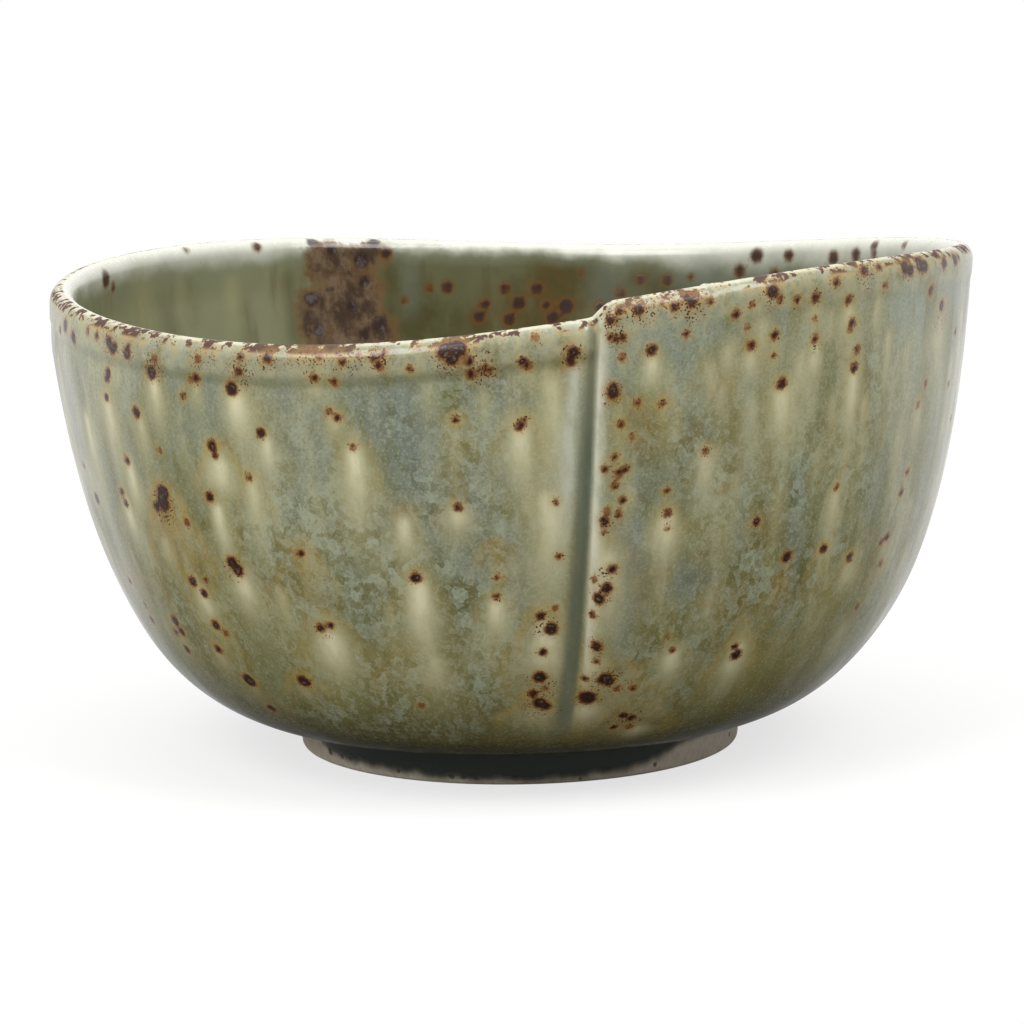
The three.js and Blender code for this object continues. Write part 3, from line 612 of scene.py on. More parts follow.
# What the front view shows of the inside, over the front rim
insideMarks = {
    "spots": [
        (98.5, 58.0, 0.85), (101.2, 58.0, 0.5), (90.0, 57.5, 0.75), (85.3, 57.5, 0.9), (88.0, 55.3, 1.0),
        (81.0, 54.8, 1.2), (84.0, 55.0, 0.6), (93.0, 55.2, 0.7), (94.0, 53.3, 0.9), (89.5, 52.8, 0.9),
        (83.0, 53.0, 1.0), (76.0, 54.7, 0.6), (72.8, 56.9, 0.6), (69.7, 59.0, 0.65), (65.7, 59.0, 0.75),
        (78.8, 59.8, 0.35), (62.0, 59.5, 0.3), (51.2, 63.3, 0.95), (45.5, 63.6, 0.7), (54.0, 60.8, 0.8),
        (48.0, 60.6, 0.7), (36.8, 63.9, 0.9), (32.0, 64.7, 0.8), (28.0, 66.4, 0.6), (27.8, 65.0, 0.5),
        (20.0, 67.2, 0.4), (105.0, 56.3, 0.4), (107.4, 63.6, 0.75), (117.6, 65.3, 0.35), (163.0, 64.6, 1.1),
        (160.5, 63.2, 0.4), (141.0, 66.9, 0.45), (127.9, 66.0, 0.55),
    ],
    # angle, top, length and width of the drips inside, and how creamy and how ochre each is
    "drips": [
        (127.7, 66.6, 4, 1.4, 0.1, 0.9), (70.0, 64.2, 3, 1.2, 0.1, 0.7), (133.0, 61.6, 7, 3.0, 0.5, 0.0),
        (125.3, 62.5, 5, 1.4, 0.0, 0.5), (83.5, 58.0, 9, 7.0, 0.0, 0.6), (91.5, 56.5, 6, 4.5, 0.0, 0.5),
        (28.0, 67.0, 4, 2.0, 0.0, 0.8), (33.0, 66.0, 4, 1.6, 0.1, 0.6), (36.5, 65.6, 3, 1.6, 0.0, 0.6),
        (163.0, 65.6, 4, 2.0, 0.1, 0.7), (143.0, 63.0, 8, 3.0, 0.3, 0.1), (152.0, 65.0, 12, 6.0, 0.4, 0.0),
    ],
    # angle, top, bottom, width and strength of the blue-grey streaks inside: partly glaze, partly a painted
    # reflection
    "cool": [
        (60, 64, 57, 8.0, 0.9), (50, 65, 58, 7.0, 0.8), (75, 62, 54, 5.0, 0.5), (104, 62, 54, 2.6, 0.5),
    ],
    "deep": [
        (97, 63, 50, 4.0, 0.8), (88, 60, 52, 6.0, 0.6), (123, 63, 50, 2.4, 0.7), (141, 63, 55, 3.0, 0.6),
        (147, 60, 52, 5.0, 0.5), (107, 62, 50, 2.0, 0.7), (67, 58, 50, 4.0, 0.5), (131, 59, 50, 2.4, 0.5),
    ],
    # angle, height and reach of the brown patch, where iron ran down the inside
    "patch": [
        (116, 66.0, 4.5), (109, 65.0, 3.6), (115, 63.0, 5.5), (113, 58.0, 5.5), (116, 54.0, 6.5),
        (112, 50.0, 6.0), (115, 45.0, 5.0),
    ],
    "patchDark": [
        (118.5, 66.2, 1.5), (113.4, 66.4, 1.1), (109.0, 65.6, 1.6), (111.2, 62.8, 1.7),
        (111.0, 59.5, 1.2), (115.8, 64.5, 1.0), (113.2, 55.8, 1.2), (119.4, 57.2, 1.5),
        (109.2, 52.6, 1.7), (111.6, 51.4, 1.4), (118.8, 52.6, 1.2), (116.4, 58.5, 0.8),
    ],
}

# Where iron breaks through the lip: angle, reach and strength
rimBreaks = [
    (-172, 5, 0.6), (-163, 3, 0.8), (-156, 3, 0.4), (-149, 3, 0.8), (-141, 4, 0.9), (-134, 2, 0.5),
    (-127, 3, 0.7), (-119, 3, 1.3), (-112, 5, 1.6), (-106, 2, 0.6), (-96, 4.5, 1.0), (-89, 1.5, 0.5),
    (-83, 1.2, 0.6), (-76, 2.5, 0.8), (-70, 3, 0.9), (-58, 2.5, 0.9), (-50, 2, 0.7), (-46, 2, 0.9),
    (-36, 4, 0.9), (-26, 4, 0.9), (-14, 4, 0.8), (4, 5, 0.7), (24, 6, 0.9), (46, 3, 0.4), (74, 4, 0.5),
    (104, 3, 0.7), (127, 2, 0.5), (148, 5, 0.8), (170, 3, 0.6),
]

wildMarks = {
    "spots": 140,
    "drips": 54,
    "streaks": 34,
    "rimClumps": 16,
    "insideSpots": 110,
    "insideDrips": 34,
    "atRim": 4,  # iron spots in each clump at the rim
    # least and most
    "hiddenTurn": (-6, 190),  # from just past the right edge of the photo's view
    "insideTurn": (-168, 12),
    "wholeTurn": (0, 360),
    "spotDripLength": (4, 9),
    "spotDripCream": (0.3, 0.95),
    "dripTop": (16, 60),
    "dripLength": (6, 15),
    "dripWidth": (2.4, 4.5),
    "dripCream": (0.2, 0.9),
    "streakTop": (20, 62),
    "streakLength": (6, 18),
    "streakWidth": (2.4, 4.5),
    "streakStrength": (0.4, 0.8),
    "clumpDrop": (1.5, 4.5),
    "clumpReach": (1.4, 3),
    "clumpDensity": (0.6, 1),
    "clumpSpotSize": (0.3, 0.9),
    "insideDripTop": (22, 60),
    "insideDripLength": (5, 14),
    "insideDripWidth": (2, 5),
    "insideDripCream": (0, 0.4),
    "lowInsideHeight": (13, 46),
    # least, span and the power that crowds them towards one end
    "spotHeight": (13, 52, 0.8),
    "spotSize": (0.3, 0.8, 1.8),
    "spotDripOchre": (0, 1, 2),
    "dripOchre": (0, 0.8, 2),
    "insideHeight": (14, 50, 0.8),
    "insideSize": (0.35, 0.8, 2),
    "insideDripOchre": (0, 0.7, 2),
}


def draw(rng, *names):
    drawn = []
    for name in names:
        least, reach, *power = wildMarks[name]
        drawn.append(least + reach * rng.random() ** power[0] if power else rng.uniform(least, reach))
    return tuple(drawn)


# Marks of the same kinds for the sides that the front view doesn't show
def scatterMarks():
    rng = np.random.default_rng(seed)
    hidden = {"spots": [], "flecks": [], "drips": [], "cool": [], "deep": []}
    for _ in range(wildMarks["spots"]):
        angle, height, size = draw(rng, "hiddenTurn", "spotHeight", "spotSize")
        hidden["spots"].append((angle, height, size))
        if rng.random() < 0.5:
            hidden["spots"].append((angle + rng.normal(0, 0.8), height + rng.normal(0, 0.9), size * 0.7))
        if rng.random() < 0.6:
            length, cream, ochre = draw(rng, "spotDripLength", "spotDripCream", "spotDripOchre")
            hidden["drips"].append((angle, height + 0.6, length, 2.2 + 1.6 * size, cream, ochre))
    for _ in range(wildMarks["drips"]):
        hidden["drips"].append(draw(
            rng, "hiddenTurn", "dripTop", "dripLength", "dripWidth", "dripCream", "dripOchre"))
    for kind in ("cool", "deep"):
        for _ in range(wildMarks["streaks"]):
            angle, top, length = draw(rng, "hiddenTurn", "streakTop", "streakLength")
            width, strength = draw(rng, "streakWidth", "streakStrength")
            hidden[kind].append((angle, top, top - length, width, strength))
    for _ in range(wildMarks["rimClumps"]):
        angle, drop, reach, density = draw(rng, "hiddenTurn", "clumpDrop", "clumpReach", "clumpDensity")
        height = float(rimTop(np.array(angle))) - drop
        hidden["flecks"].append((angle, height, reach, density))
        for _ in range(wildMarks["atRim"]):
            near = (angle + rng.normal(0, 1.6), height + rng.normal(0, 1))
            hidden["spots"].append(near + draw(rng, "clumpSpotSize"))
    within = {"spots": [], "drips": []}
    for _ in range(wildMarks["insideSpots"]):
        within["spots"].append(draw(rng, "insideTurn", "insideHeight", "insideSize"))
    for _ in range(wildMarks["insideDrips"]):
        within["drips"].append(draw(
            rng, "wholeTurn", "insideDripTop", "insideDripLength",
            "insideDripWidth", "insideDripCream", "insideDripOchre"))
    for _ in range(wildMarks["insideSpots"] // 2):
        within["spots"].append(draw(rng, "wholeTurn", "lowInsideHeight", "insideSize"))
    return hidden, within


def surfacePoint(angle, height, inner):
    column = angle + leanTurn(height)
    radius = innerFace(column, height) if inner else outerFace(column, height)
    return place(column, radius, height)


# Where each mark lies on one side of the clay, as one number for each point of the mesh
class Side:
    def __init__(self, points, belongs, inner):
        self.points, self.belongs, self.inner = points, belongs, inner
        x, y, self.z = points.T
        self.angle = np.degrees(np.arctan2(y, x + body["lean"] * climb(self.z)))
        self.radius = np.hypot(x, y)
        self.up = self.z if inner else upOutside(self.z)

    def distance(self, angle, height):
        centre = surfacePoint(np.array(float(angle)), np.array(float(height)), self.inner)
        return np.linalg.norm(self.points - centre, axis=1)

    def across(self, angle):
        return np.radians((self.angle - angle + 180) % 360 - 180) * self.radius

    def below(self, height):
        return (height if self.inner else upOutside(height)) - self.up

    def raiseTo(self, field, values):
        field[self.belongs] = np.maximum(field, values)[self.belongs]

    def paintSpots(self, field, spots):
        for angle, height, size in spots:
            self.raiseTo(field, 0.16 + 0.84 * size - self.distance(angle, height))

    def paintFlecks(self, field, flecks):
        for angle, height, reach, density in flecks:
            self.raiseTo(field, density * np.exp(-(self.distance(angle, height) / reach) ** 2))

    # A drip is creamiest round its head, with an ochre edge, then widens and fades out
    def paintDrips(self, cream, ochre, warm, drips):
        for angle, top, length, width, creamShare, ochreShare in drips:
            across, below = self.across(angle), self.below(top)
            run = np.maximum(below, 0) / length
            half = width / 2 * (0.95 + 0.65 * smooth(run * 1.6))
            outline = np.hypot(across / half, np.minimum(below - width * 0.3, 0) / (width * 0.55))
            fading = np.exp(-0.9 * run ** 1.6)
            wash = np.exp(-1.2 * outline ** 1.7) * fading
            core = np.hypot(across / half / 0.8, (below - width * 0.6) / (0.3 * length + 0.4 * width))
            edge = np.exp(-((outline - 1.1) / 0.35) ** 2) * fading
            self.raiseTo(cream, wash * (0.7 + 0.3 * np.exp(-core ** 2)) * creamShare)
            self.raiseTo(ochre, np.maximum(edge * 0.8, wash * (1 - creamShare)) * ochreShare)
            glow = np.exp(-(outline / 2) ** 2 - 0.6 * run ** 1.6)
            self.raiseTo(warm, glow * (0.25 + 0.45 * max(creamShare, ochreShare)))

    def paintStreaks(self, field, streaks):
        for angle, top, bottom, width, strength in streaks:
            shape = np.exp(-(self.across(angle) / width * 1.7) ** 2)
            shape = shape * smooth(self.below(top) / 5 + 0.5) * smooth(0.5 - self.below(bottom) / 5)
            self.raiseTo(field, shape * strength)


# How the glaze and the painted highlights lie along the lap, in mm from the free edge and up the bowl
lapGlaze = {
    "grooveWidth": (0.6, 1.0, 0.9),  # at the rim, then what it gains below the rim and low down
    "grooveSoft": (1.7, 0.4, 0.6),  # the left edge, how much less low down, and the right edge
    "grooveRight": (0.35, 0.55),  # how far past the free edge it reaches, and how much less low down
    "grooveFoot": 9,
    "ridgeAt": 0.5,
    "ridgeWidth": 0.9,
    "ridgeFoot": 14,
    # where the swell beside the groove is painted pale: partly pale glaze, partly a painted highlight
    "milkySheenAt": 1.3,
    "milkySheenWidth": 1.1,
    "milkySheenFoot": 30,
    "milkySheenTop": 69,
    "bandLineDrop": 4.9,
    "bandLineWidth": 0.6,
}


def lapMarks(fields, side, isInside):
    column = side.angle + leanTurn(side.z)
    belowRim = np.clip(rimTop(column) - side.z, 0, 20)
    along = fromEdge(column, side.radius)
    onLap = (isInside == 0) * smooth((side.z - 7) / 5)
    low = smooth((48 - side.z) / 34)
    atRim, below, lowDown = lapGlaze["grooveWidth"]
    width = atRim + below * smooth((66 - side.z) / 14) + lowDown * low
    softLeft, lessLow, softRight = lapGlaze["grooveSoft"]
    right, backLow = lapGlaze["grooveRight"]
    leftOfIt = smooth((along + width) / (softLeft - lessLow * low) + 0.5)
    rightOfIt = smooth((right - backLow * low - along) / softRight + 0.5)
    fields["groove"] = onLap * leftOfIt * rightOfIt * smooth((side.z - lapGlaze["grooveFoot"]) / 5)
    # The ridge by the free edge: glaze thin and pale over the edge, lightened further as a painted
    # highlight
    crest = np.exp(-((along - lapGlaze["ridgeAt"]) / lapGlaze["ridgeWidth"]) ** 2)
    ridgePaleAndHighlight = smooth((along - 0.2) / 0.5) * crest
    fields["ridgePaleAndHighlight"] = onLap * ridgePaleAndHighlight * smooth((side.z - lapGlaze["ridgeFoot"]) / 12)
    # A pale band on the swell left of the groove: partly pale glaze, partly a painted highlight
    beside = np.exp(-((along + width + lapGlaze["milkySheenAt"]) / lapGlaze["milkySheenWidth"]) ** 2)
    aboveFoot = smooth((side.z - lapGlaze["milkySheenFoot"]) / 20)
    belowTop = smooth((lapGlaze["milkySheenTop"] - side.z) / 8)
    fields["milkyAndSheen"] = onLap * beside * aboveFoot * belowTop
    onLine = np.exp(-((belowRim - lapGlaze["bandLineDrop"]) / lapGlaze["bandLineWidth"]) ** 2)
    fields["bandLine"] = onLap * turnShare(column) * onLine
    fields["belowRim"] = belowRim


def glazeMarks(points, isInside, section):
    hidden, within = scatterMarks()
    count = len(points)
    names = ("cream", "ochre", "fleck", "cool", "deep", "patch", "patchDark", "torn",
             "light", "warm", "flaky", "brown", "blue")
    fields = {name: np.zeros(count) for name in names}
    fields["spot"] = np.full(count, -3.0)
    for inner, marks, wild in ((False, outsideMarks, hidden), (True, insideMarks, within)):
        side = Side(points, isInside == inner, inner)
        side.paintSpots(fields["spot"], marks["spots"] + wild["spots"])
        side.paintDrips(fields["cream"], fields["ochre"], fields["warm"], marks["drips"] + wild["drips"])
        side.paintStreaks(fields["cool"], marks["cool"] + wild.get("cool", []))
        side.paintStreaks(fields["deep"], marks["deep"] + wild.get("deep", []))
        side.paintFlecks(fields["fleck"], marks.get("flecks", []) + wild.get("flecks", []))
        for name in ("patch", "patchDark"):
            for angle, height, reach in marks.get(name, []):
                side.raiseTo(fields[name], 1 - smooth(side.distance(angle, height) / reach / 1.6))
        if not inner:
            for name, spread in {**grounds, **stains}.items():
                side.paintFlecks(fields[name], spread)
            for angle, reach, strength in rimBreaks:
                side.raiseTo(fields["torn"], strength * np.exp(-(side.across(angle) / reach) ** 2))
    lapMarks(fields, side, isInside)
    fields["inside"] = isInside * 1.0
    turn = np.radians(side.angle)
    reach = flowRadius * np.minimum(side.radius / body["hipRadius"], 1)
    flow = np.stack([reach * np.cos(turn), reach * np.sin(turn), section], -1) * mm
    return fields, flow


def addFields(mesh, fields, flow=None):
    for name, values in fields.items():
        layer = mesh.attributes.new(name, "FLOAT", "POINT")
        layer.data.foreach_set("value", np.ascontiguousarray(values, np.float32))
    if flow is not None:
        layer = mesh.attributes.new("flow", "FLOAT_VECTOR", "POINT")
        layer.data.foreach_set("vector", np.ascontiguousarray(flow, np.float32).reshape(-1))


def finishPiece(name, mesh, normals, material, node):
    mesh.shade_smooth()
    if normals is not None:
        mesh.normals_split_custom_set_from_vertices(normals.tolist())
    piece = bpy.data.objects.new(name, mesh)
    bpy.context.scene.collection.objects.link(piece)
    piece.data.materials.append(material)
    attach(piece, "root")
    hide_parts(node)
    return piece


# Noises of the glaze and the clay: the size of their clouds in mm, detail, roughness, place, and whether
# they follow the clay round and up the bowl
noises = {
    "bodyClouds": ((13, 13, 20), 4, 0.6, (0, 0, 0), True),
    "bodyPatches": ((5, 5, 7), 3, 0.6, (3, 5, 9), True),
    "bodyStreaks": ((3.4, 3.4, 14), 3, 0.5, (7, 3, 0), True),
    "bodyThreads": ((0.8, 0.8, 5), 3, 0.6, (1, 9, 4), True),
    "streakEdges": ((1.5, 1.5, 6), 3, 0.6, (4, 4, 4), True),
    "stainEdges": ((1.8, 1.8, 2.2), 4, 0.65, (2, 6, 1), True),
    "flakeFields": ((7, 7, 7), 3, 0.6, (6, 6, 2), True),
    "glazeGrain": ((0.4, 0.4, 0.4), 2, 0.7, (6, 2, 5), False),
    "hipRings": ((12, 12, 0.7), 4, 0.65, (2, 2, 8), True),
    "dripEdges": ((1.1, 1.1, 2.6), 4, 0.65, (9, 4, 4), True),
    "lapEdges": ((1.2, 1.2, 5), 3, 0.6, (3, 8, 1), True),
    "lipPatches": ((1.4, 1.4, 1.4), 4, 0.6, (5, 1, 2), False),
    "lipDust": ((0.6, 0.6, 0.6), 3, 0.7, (7, 1, 3), False),
    "insideClouds": ((9, 9, 14), 4, 0.6, (2, 7, 3), True),
    "insideStreaks": ((2.6, 2.6, 26), 3, 0.55, (4, 1, 6), True),
    "insideWaves": ((5, 5, 5), 3, 0.5, (0, 0, 0), False),
    "patchLobes": ((3.4, 3.4, 5), 5, 0.65, (0, 0, 0), True),
    "patchEdges": ((1.4, 1.4, 1.8), 4, 0.65, (2, 3, 9), True),
    "ironFray": ((0.5, 0.5, 0.5), 3, 0.65, (3, 0, 1), False),
    "ironLobes": ((1.3, 1.3, 1.3), 2, 0.5, (8, 5, 2), False),
    "ironDust": ((0.3, 0.3, 0.3), 2, 0.6, (1, 6, 3), False),
    "glossClouds": ((9, 9, 14), 3, 0.5, (5, 5, 1), True),
    "slowWaves": ((6, 6, 12), 1, 0.4, (1, 1, 1), True),
    "smallWaves": ((0.9, 0.9, 0.9), 2, 0.5, (0, 0, 0), False),
    "clayGrain": ((1.2, 1.2, 1.2), 5, 0.65, (0, 0, 0), False),
    "clayFray": ((0.6, 0.6, 0.6), 3, 0.6, (2, 8, 3), False),
    "glazeRuns": ((2.6, 2.6, 5), 3, 0.5, (5, 2, 2), False),
}


# Small helpers for node materials

def paint(red, green, blue):
    values = [v / 255 for v in (red, green, blue)]
    return [v / 12.92 if v <= 0.04045 else ((v + 0.055) / 1.055) ** 2.4 for v in values] + [1]


class Recipe:
    def __init__(self, owner):
        self.owner = owner
        owner.use_nodes = True
        self.tree = owner.node_tree
        self.tree.nodes.clear()

    def node(self, kind, **settings):
        made = self.tree.nodes.new(kind)
        for key, value in settings.items():
            setattr(made, key, value)
        return made

    def put(self, socket, value):
        if isinstance(value, bpy.types.NodeSocket):
            self.tree.links.new(value, socket)
        else:
            socket.default_value = value

    def maths(self, operation, a, b=0.0):
        made = self.node("ShaderNodeMath", operation=operation)
        self.put(made.inputs[0], a)
        self.put(made.inputs[1], b)
        return made.outputs[0]

    def times(self, *factors):
        product = factors[0]
        for factor in factors[1:]:
            product = self.maths("MULTIPLY", product, factor)
        return product

    def plus(self, a, b):
        return self.maths("ADD", a, b)

    def rest(self, value):
        return self.maths("SUBTRACT", 1.0, value)

    def spread(self, value, low, high, newLow=0.0, newHigh=1.0):
        made = self.node("ShaderNodeMapRange", interpolation_type="SMOOTHSTEP")
        for i, v in enumerate((value, low, high, newLow, newHigh)):
            self.put(made.inputs[i], v)
        return made.outputs[0]

    def mix(self, share, a, b):
        made = self.node("ShaderNodeMix", data_type="RGBA", clamp_factor=True)
        self.put(made.inputs[0], share)
        self.put(made.inputs[6], a)
        self.put(made.inputs[7], b)
        return made.outputs[2]

    def field(self, name):
        return self.node("ShaderNodeAttribute", attribute_name=name).outputs["Fac"]

    # Coordinates in steps of the given sizes in mm; along follows the clay round and up the bowl
    def place(self, sizes, at=(0, 0, 0), along=False):
        if along:
            coords = self.node("ShaderNodeAttribute", attribute_name="flow").outputs["Vector"]
        else:
            coords = self.node("ShaderNodeTexCoord").outputs["Object"]
        made = self.node("ShaderNodeMapping")
        made.inputs["Scale"].default_value = [1000 / s for s in sizes]
        made.inputs["Location"].default_value = at
        self.tree.links.new(coords, made.inputs["Vector"])
        return made.outputs[0]

    def cloud(self, name):
        sizes, detail, rough, at, along = noises[name]
        made = self.node("ShaderNodeTexNoise")
        self.put(made.inputs["Vector"], self.place(sizes, at, along))
        made.inputs["Scale"].default_value = 1
        made.inputs["Detail"].default_value = detail
        made.inputs["Roughness"].default_value = rough
        return made.outputs["Fac"]

    def cells(self, sizes, feature="F1", at=(0, 0, 0), along=False, wobble=0.0):
        vector = self.place(sizes, at, along)
        if wobble:
            stir = self.node("ShaderNodeTexNoise")
            self.put(stir.inputs["Vector"], vector)
            stir.inputs["Scale"].default_value = 1.1
            stir.inputs["Detail"].default_value = 1
            moved = self.node("ShaderNodeVectorMath", operation="MULTIPLY_ADD")
            self.put(moved.inputs[0], stir.outputs["Color"])
            moved.inputs[1].default_value = (wobble, wobble, wobble)
            self.put(moved.inputs[2], vector)
            vector = moved.outputs[0]
        made = self.node("ShaderNodeTexVoronoi", feature=feature)
        self.put(made.inputs["Vector"], vector)
        made.inputs["Scale"].default_value = 1
        return made

    def chance(self, cells):
        made = self.node("ShaderNodeSeparateColor")
        self.put(made.inputs[0], cells.outputs["Color"])
        return made.outputs[0]

    def bump(self, height, strength, distance, normal=None):
        made = self.node("ShaderNodeBump")
        self.put(made.inputs["Height"], height)
        made.inputs["Strength"].default_value = strength
        made.inputs["Distance"].default_value = distance * mm
        if normal is not None:
            self.tree.links.new(normal, made.inputs["Normal"])
        return made.outputs[0]

    def shader(self, colour, roughness, normal, **sockets):
        made = self.node("ShaderNodeBsdfPrincipled")
        self.put(made.inputs["Base Color"], colour)
        self.put(made.inputs["Roughness"], roughness)
        self.tree.links.new(normal, made.inputs["Normal"])
        for key, value in sockets.items():
            made.inputs[key.replace("_", " ")].default_value = value
        out = self.node("ShaderNodeOutputMaterial")
        self.tree.links.new(made.outputs[0], out.inputs["Surface"])
        return self.owner


glaze = {
    "sage": (116, 124, 109),
    "haze": (129, 139, 126),
    "milkyAndSheen": (160, 157, 126),
    "pale": (162, 159, 128),
    "warm": (120, 113, 62),
    "olive": (98, 96, 52),
    "deep": (84, 84, 48),
    "cool": (104, 116, 113),
    "blue": (84, 90, 82),
    "brown": (118, 86, 42),
    "frost": (149, 160, 142),
    "flakeDark": (84, 84, 46),
    "lowOlive": (106, 102, 48),
    "hipOlive": (80, 76, 38),
    "hipBrown": (74, 56, 26),
    # near-black at the hip above the foot: partly dark glaze, partly painted shade under the curve
    "hipDarkAndShade": (54, 55, 44),
    "run": (161, 156, 113),
    "cream": (204, 199, 168),
    "ochre": (162, 134, 64),
    "rust": (112, 62, 27),
    "iron": (54, 30, 17),
    "ironHeart": (40, 24, 18),
    # the glassy hearts of the spots: glass and a painted highlight
    "ironGlassHighlight": (112, 98, 92),
    # the lip's crest: thin pale glaze and a painted highlight
    "lipCreamAndHighlight": (206, 202, 176),
    "bandPale": (158, 155, 124),
    "bandLine": (96, 98, 64),
    "grooveHigh": (128, 130, 106),
    "groove": (98, 105, 88),
    # the swell beside the groove: partly pale glaze, partly a painted highlight
    "swell": (184, 186, 172),
    # the lap's ridge: thin pale glaze and a painted highlight
    "ridgePaleAndHighlight": (210, 207, 188),
    "insideGreen": (86, 86, 58),
    "insideOlive": (64, 60, 28),
    "insideLight": (128, 130, 100),
    # blue-grey inside: partly glaze, partly a painted reflection
    "insideCoolAndReflection": (92, 98, 88),
    "insideRim": (208, 209, 197),
    "insidePale": (122, 126, 104),
    "insideCream": (132, 130, 92),
    "insideOchre": (94, 62, 18),
    "patchBrown": (84, 64, 44),
    "patchGrey": (104, 86, 66),
    "patchViolet": (42, 26, 20),
    "patchSheen": (104, 94, 98),
    "patchEdge": (102, 70, 36),
}


def bodyTone(r, tone):
    clouds = r.cloud("bodyClouds")
    patches = r.cloud("bodyPatches")
    streaks = r.cloud("bodyStreaks")
    fine = r.cloud("bodyThreads")
    colour = r.mix(r.spread(clouds, 0.38, 0.62), tone["sage"], tone["haze"])
    warmth = r.plus(r.field("warm"), r.times(r.maths("SUBTRACT", patches, 0.5), 0.9))
    colour = r.mix(r.spread(warmth, 0.0, 0.9, 0, 0.9), colour, tone["warm"])
    colour = r.mix(r.spread(streaks, 0.51, 0.64, 0, 0.8), colour, tone["olive"])
    colour = r.mix(r.spread(streaks, 0.47, 0.34, 0, 0.7), colour, tone["pale"])
    colour = r.mix(r.times(r.field("light"), r.spread(patches, 0.62, 0.4, 0.4, 0.9)), colour, tone["milkyAndSheen"])
    return r.mix(r.spread(fine, 0.5, 0.75, 0, 0.3), colour, tone["olive"])


def streakTone(r, tone, z, colour):
    rough = r.cloud("streakEdges")
    smudge = r.cloud("stainEdges")
    colour = r.mix(r.times(r.field("cool"), r.spread(rough, 0.3, 0.6, 0.5, 0.95)), colour, tone["cool"])
    colour = r.mix(r.times(r.field("deep"), r.spread(rough, 0.7, 0.4, 0.5, 0.95)), colour, tone["deep"])
    colour = r.mix(r.times(r.field("brown"), r.spread(smudge, 0.3, 0.65, 0.2, 0.9)), colour, tone["brown"])
    colour = r.mix(r.times(r.field("blue"), r.spread(smudge, 0.3, 0.65, 0.4, 0.9)), colour, tone["blue"])
    colour = r.mix(r.spread(z, 34, 15, 0, 0.5), colour, tone["lowOlive"])
    return r.mix(r.spread(z, 19, 8, 0, 0.9), colour, tone["hipOlive"])


# Sizes in mm, wobble, place and strength of the large and the small flakes
flakes = [
    ((1.2, 1.2, 1.7), 1.0, (0, 0, 0), 0.7),
    ((0.6, 0.6, 0.9), 0.9, (5, 2, 8), 0.5),
]


# Frosty flakes and dark gaps with ragged edges
def flakeTone(r, tone, z, colour):
    lie = r.cloud("flakeFields")
    where = r.times(r.field("flaky"), r.spread(lie, 0.35, 0.6, 0.35, 1), r.spread(z, 7, 11))
    where = r.times(where, r.spread(r.field("cream"), 0.15, 0.6, 1, 0.15))
    for sizes, wobble, at, share in flakes:
        chance = r.chance(r.cells(sizes, at=at, along=True, wobble=wobble))
        gaps = r.cells(sizes, feature="DISTANCE_TO_EDGE", at=at, along=True, wobble=wobble)
        edge = gaps.outputs["Distance"]
        colour = r.mix(r.times(r.spread(chance, 0.55, 0.95), where, share), colour, tone["frost"])
        colour = r.mix(r.times(r.spread(chance, 0.42, 0.05), where, share), colour, tone["flakeDark"])
        rim = r.times(r.spread(edge, 0.08, 0.0), r.spread(chance, 0.4, 0.7), where)
        colour = r.mix(r.times(rim, 0.6), colour, tone["frost"])
    return colour


def grainAndHipShade(r, tone, z, colour):
    grain = r.cloud("glazeGrain")
    colour = r.mix(r.spread(grain, 0.5, 0.7, 0, 0.4), colour, tone["pale"])
    colour = r.mix(r.spread(grain, 0.5, 0.3, 0, 0.4), colour, tone["olive"])
    lines = r.cloud("hipRings")
    ringed = r.times(r.spread(lines, 0.46, 0.66), r.spread(z, 14, 8, 0, 0.6))
    colour = r.mix(ringed, colour, tone["hipBrown"])
    # Near the foot the hip is painted near-black: partly dark glaze, partly painted shade under the curve
    return r.mix(r.spread(r.plus(z, r.times(lines, 3)), 11.5, 6.5, 0, 0.9), colour, tone["hipDarkAndShade"])


def dripTone(r, tone, colour, cream, ochre):
    ragged = r.cloud("dripEdges")
    colour = r.mix(r.times(r.field("ochre"), r.spread(ragged, 0.3, 0.65, 0.2, 0.75)), colour, ochre)
    share = r.field("cream")
    cream = r.mix(r.times(share, 1.1), tone["run"], cream)
    return r.mix(r.times(share, r.spread(ragged, 0.25, 0.6, 0.95, 1.25)), colour, cream)


def lapTone(r, tone, z, colour):
    worn = r.cloud("lapEdges")
    # Beside the groove the swell is painted pale: partly pale glaze, partly a painted highlight
    colour = r.mix(r.times(r.field("milkyAndSheen"), r.spread(worn, 0.25, 0.6, 0.3, 0.7)), colour, tone["swell"])
    groove = r.mix(r.spread(z, 61, 49), tone["grooveHigh"], tone["groove"])
    colour = r.mix(r.times(r.field("groove"), r.spread(worn, 0.25, 0.6, 0.65, 0.9)), colour, groove)
    # The ridge is painted pale: thin glaze over the edge and a painted highlight along it
    return r.mix(r.times(r.field("ridgePaleAndHighlight"), r.spread(worn, 0.25, 0.6, 0.45, 0.8)), colour, tone["ridgePaleAndHighlight"])


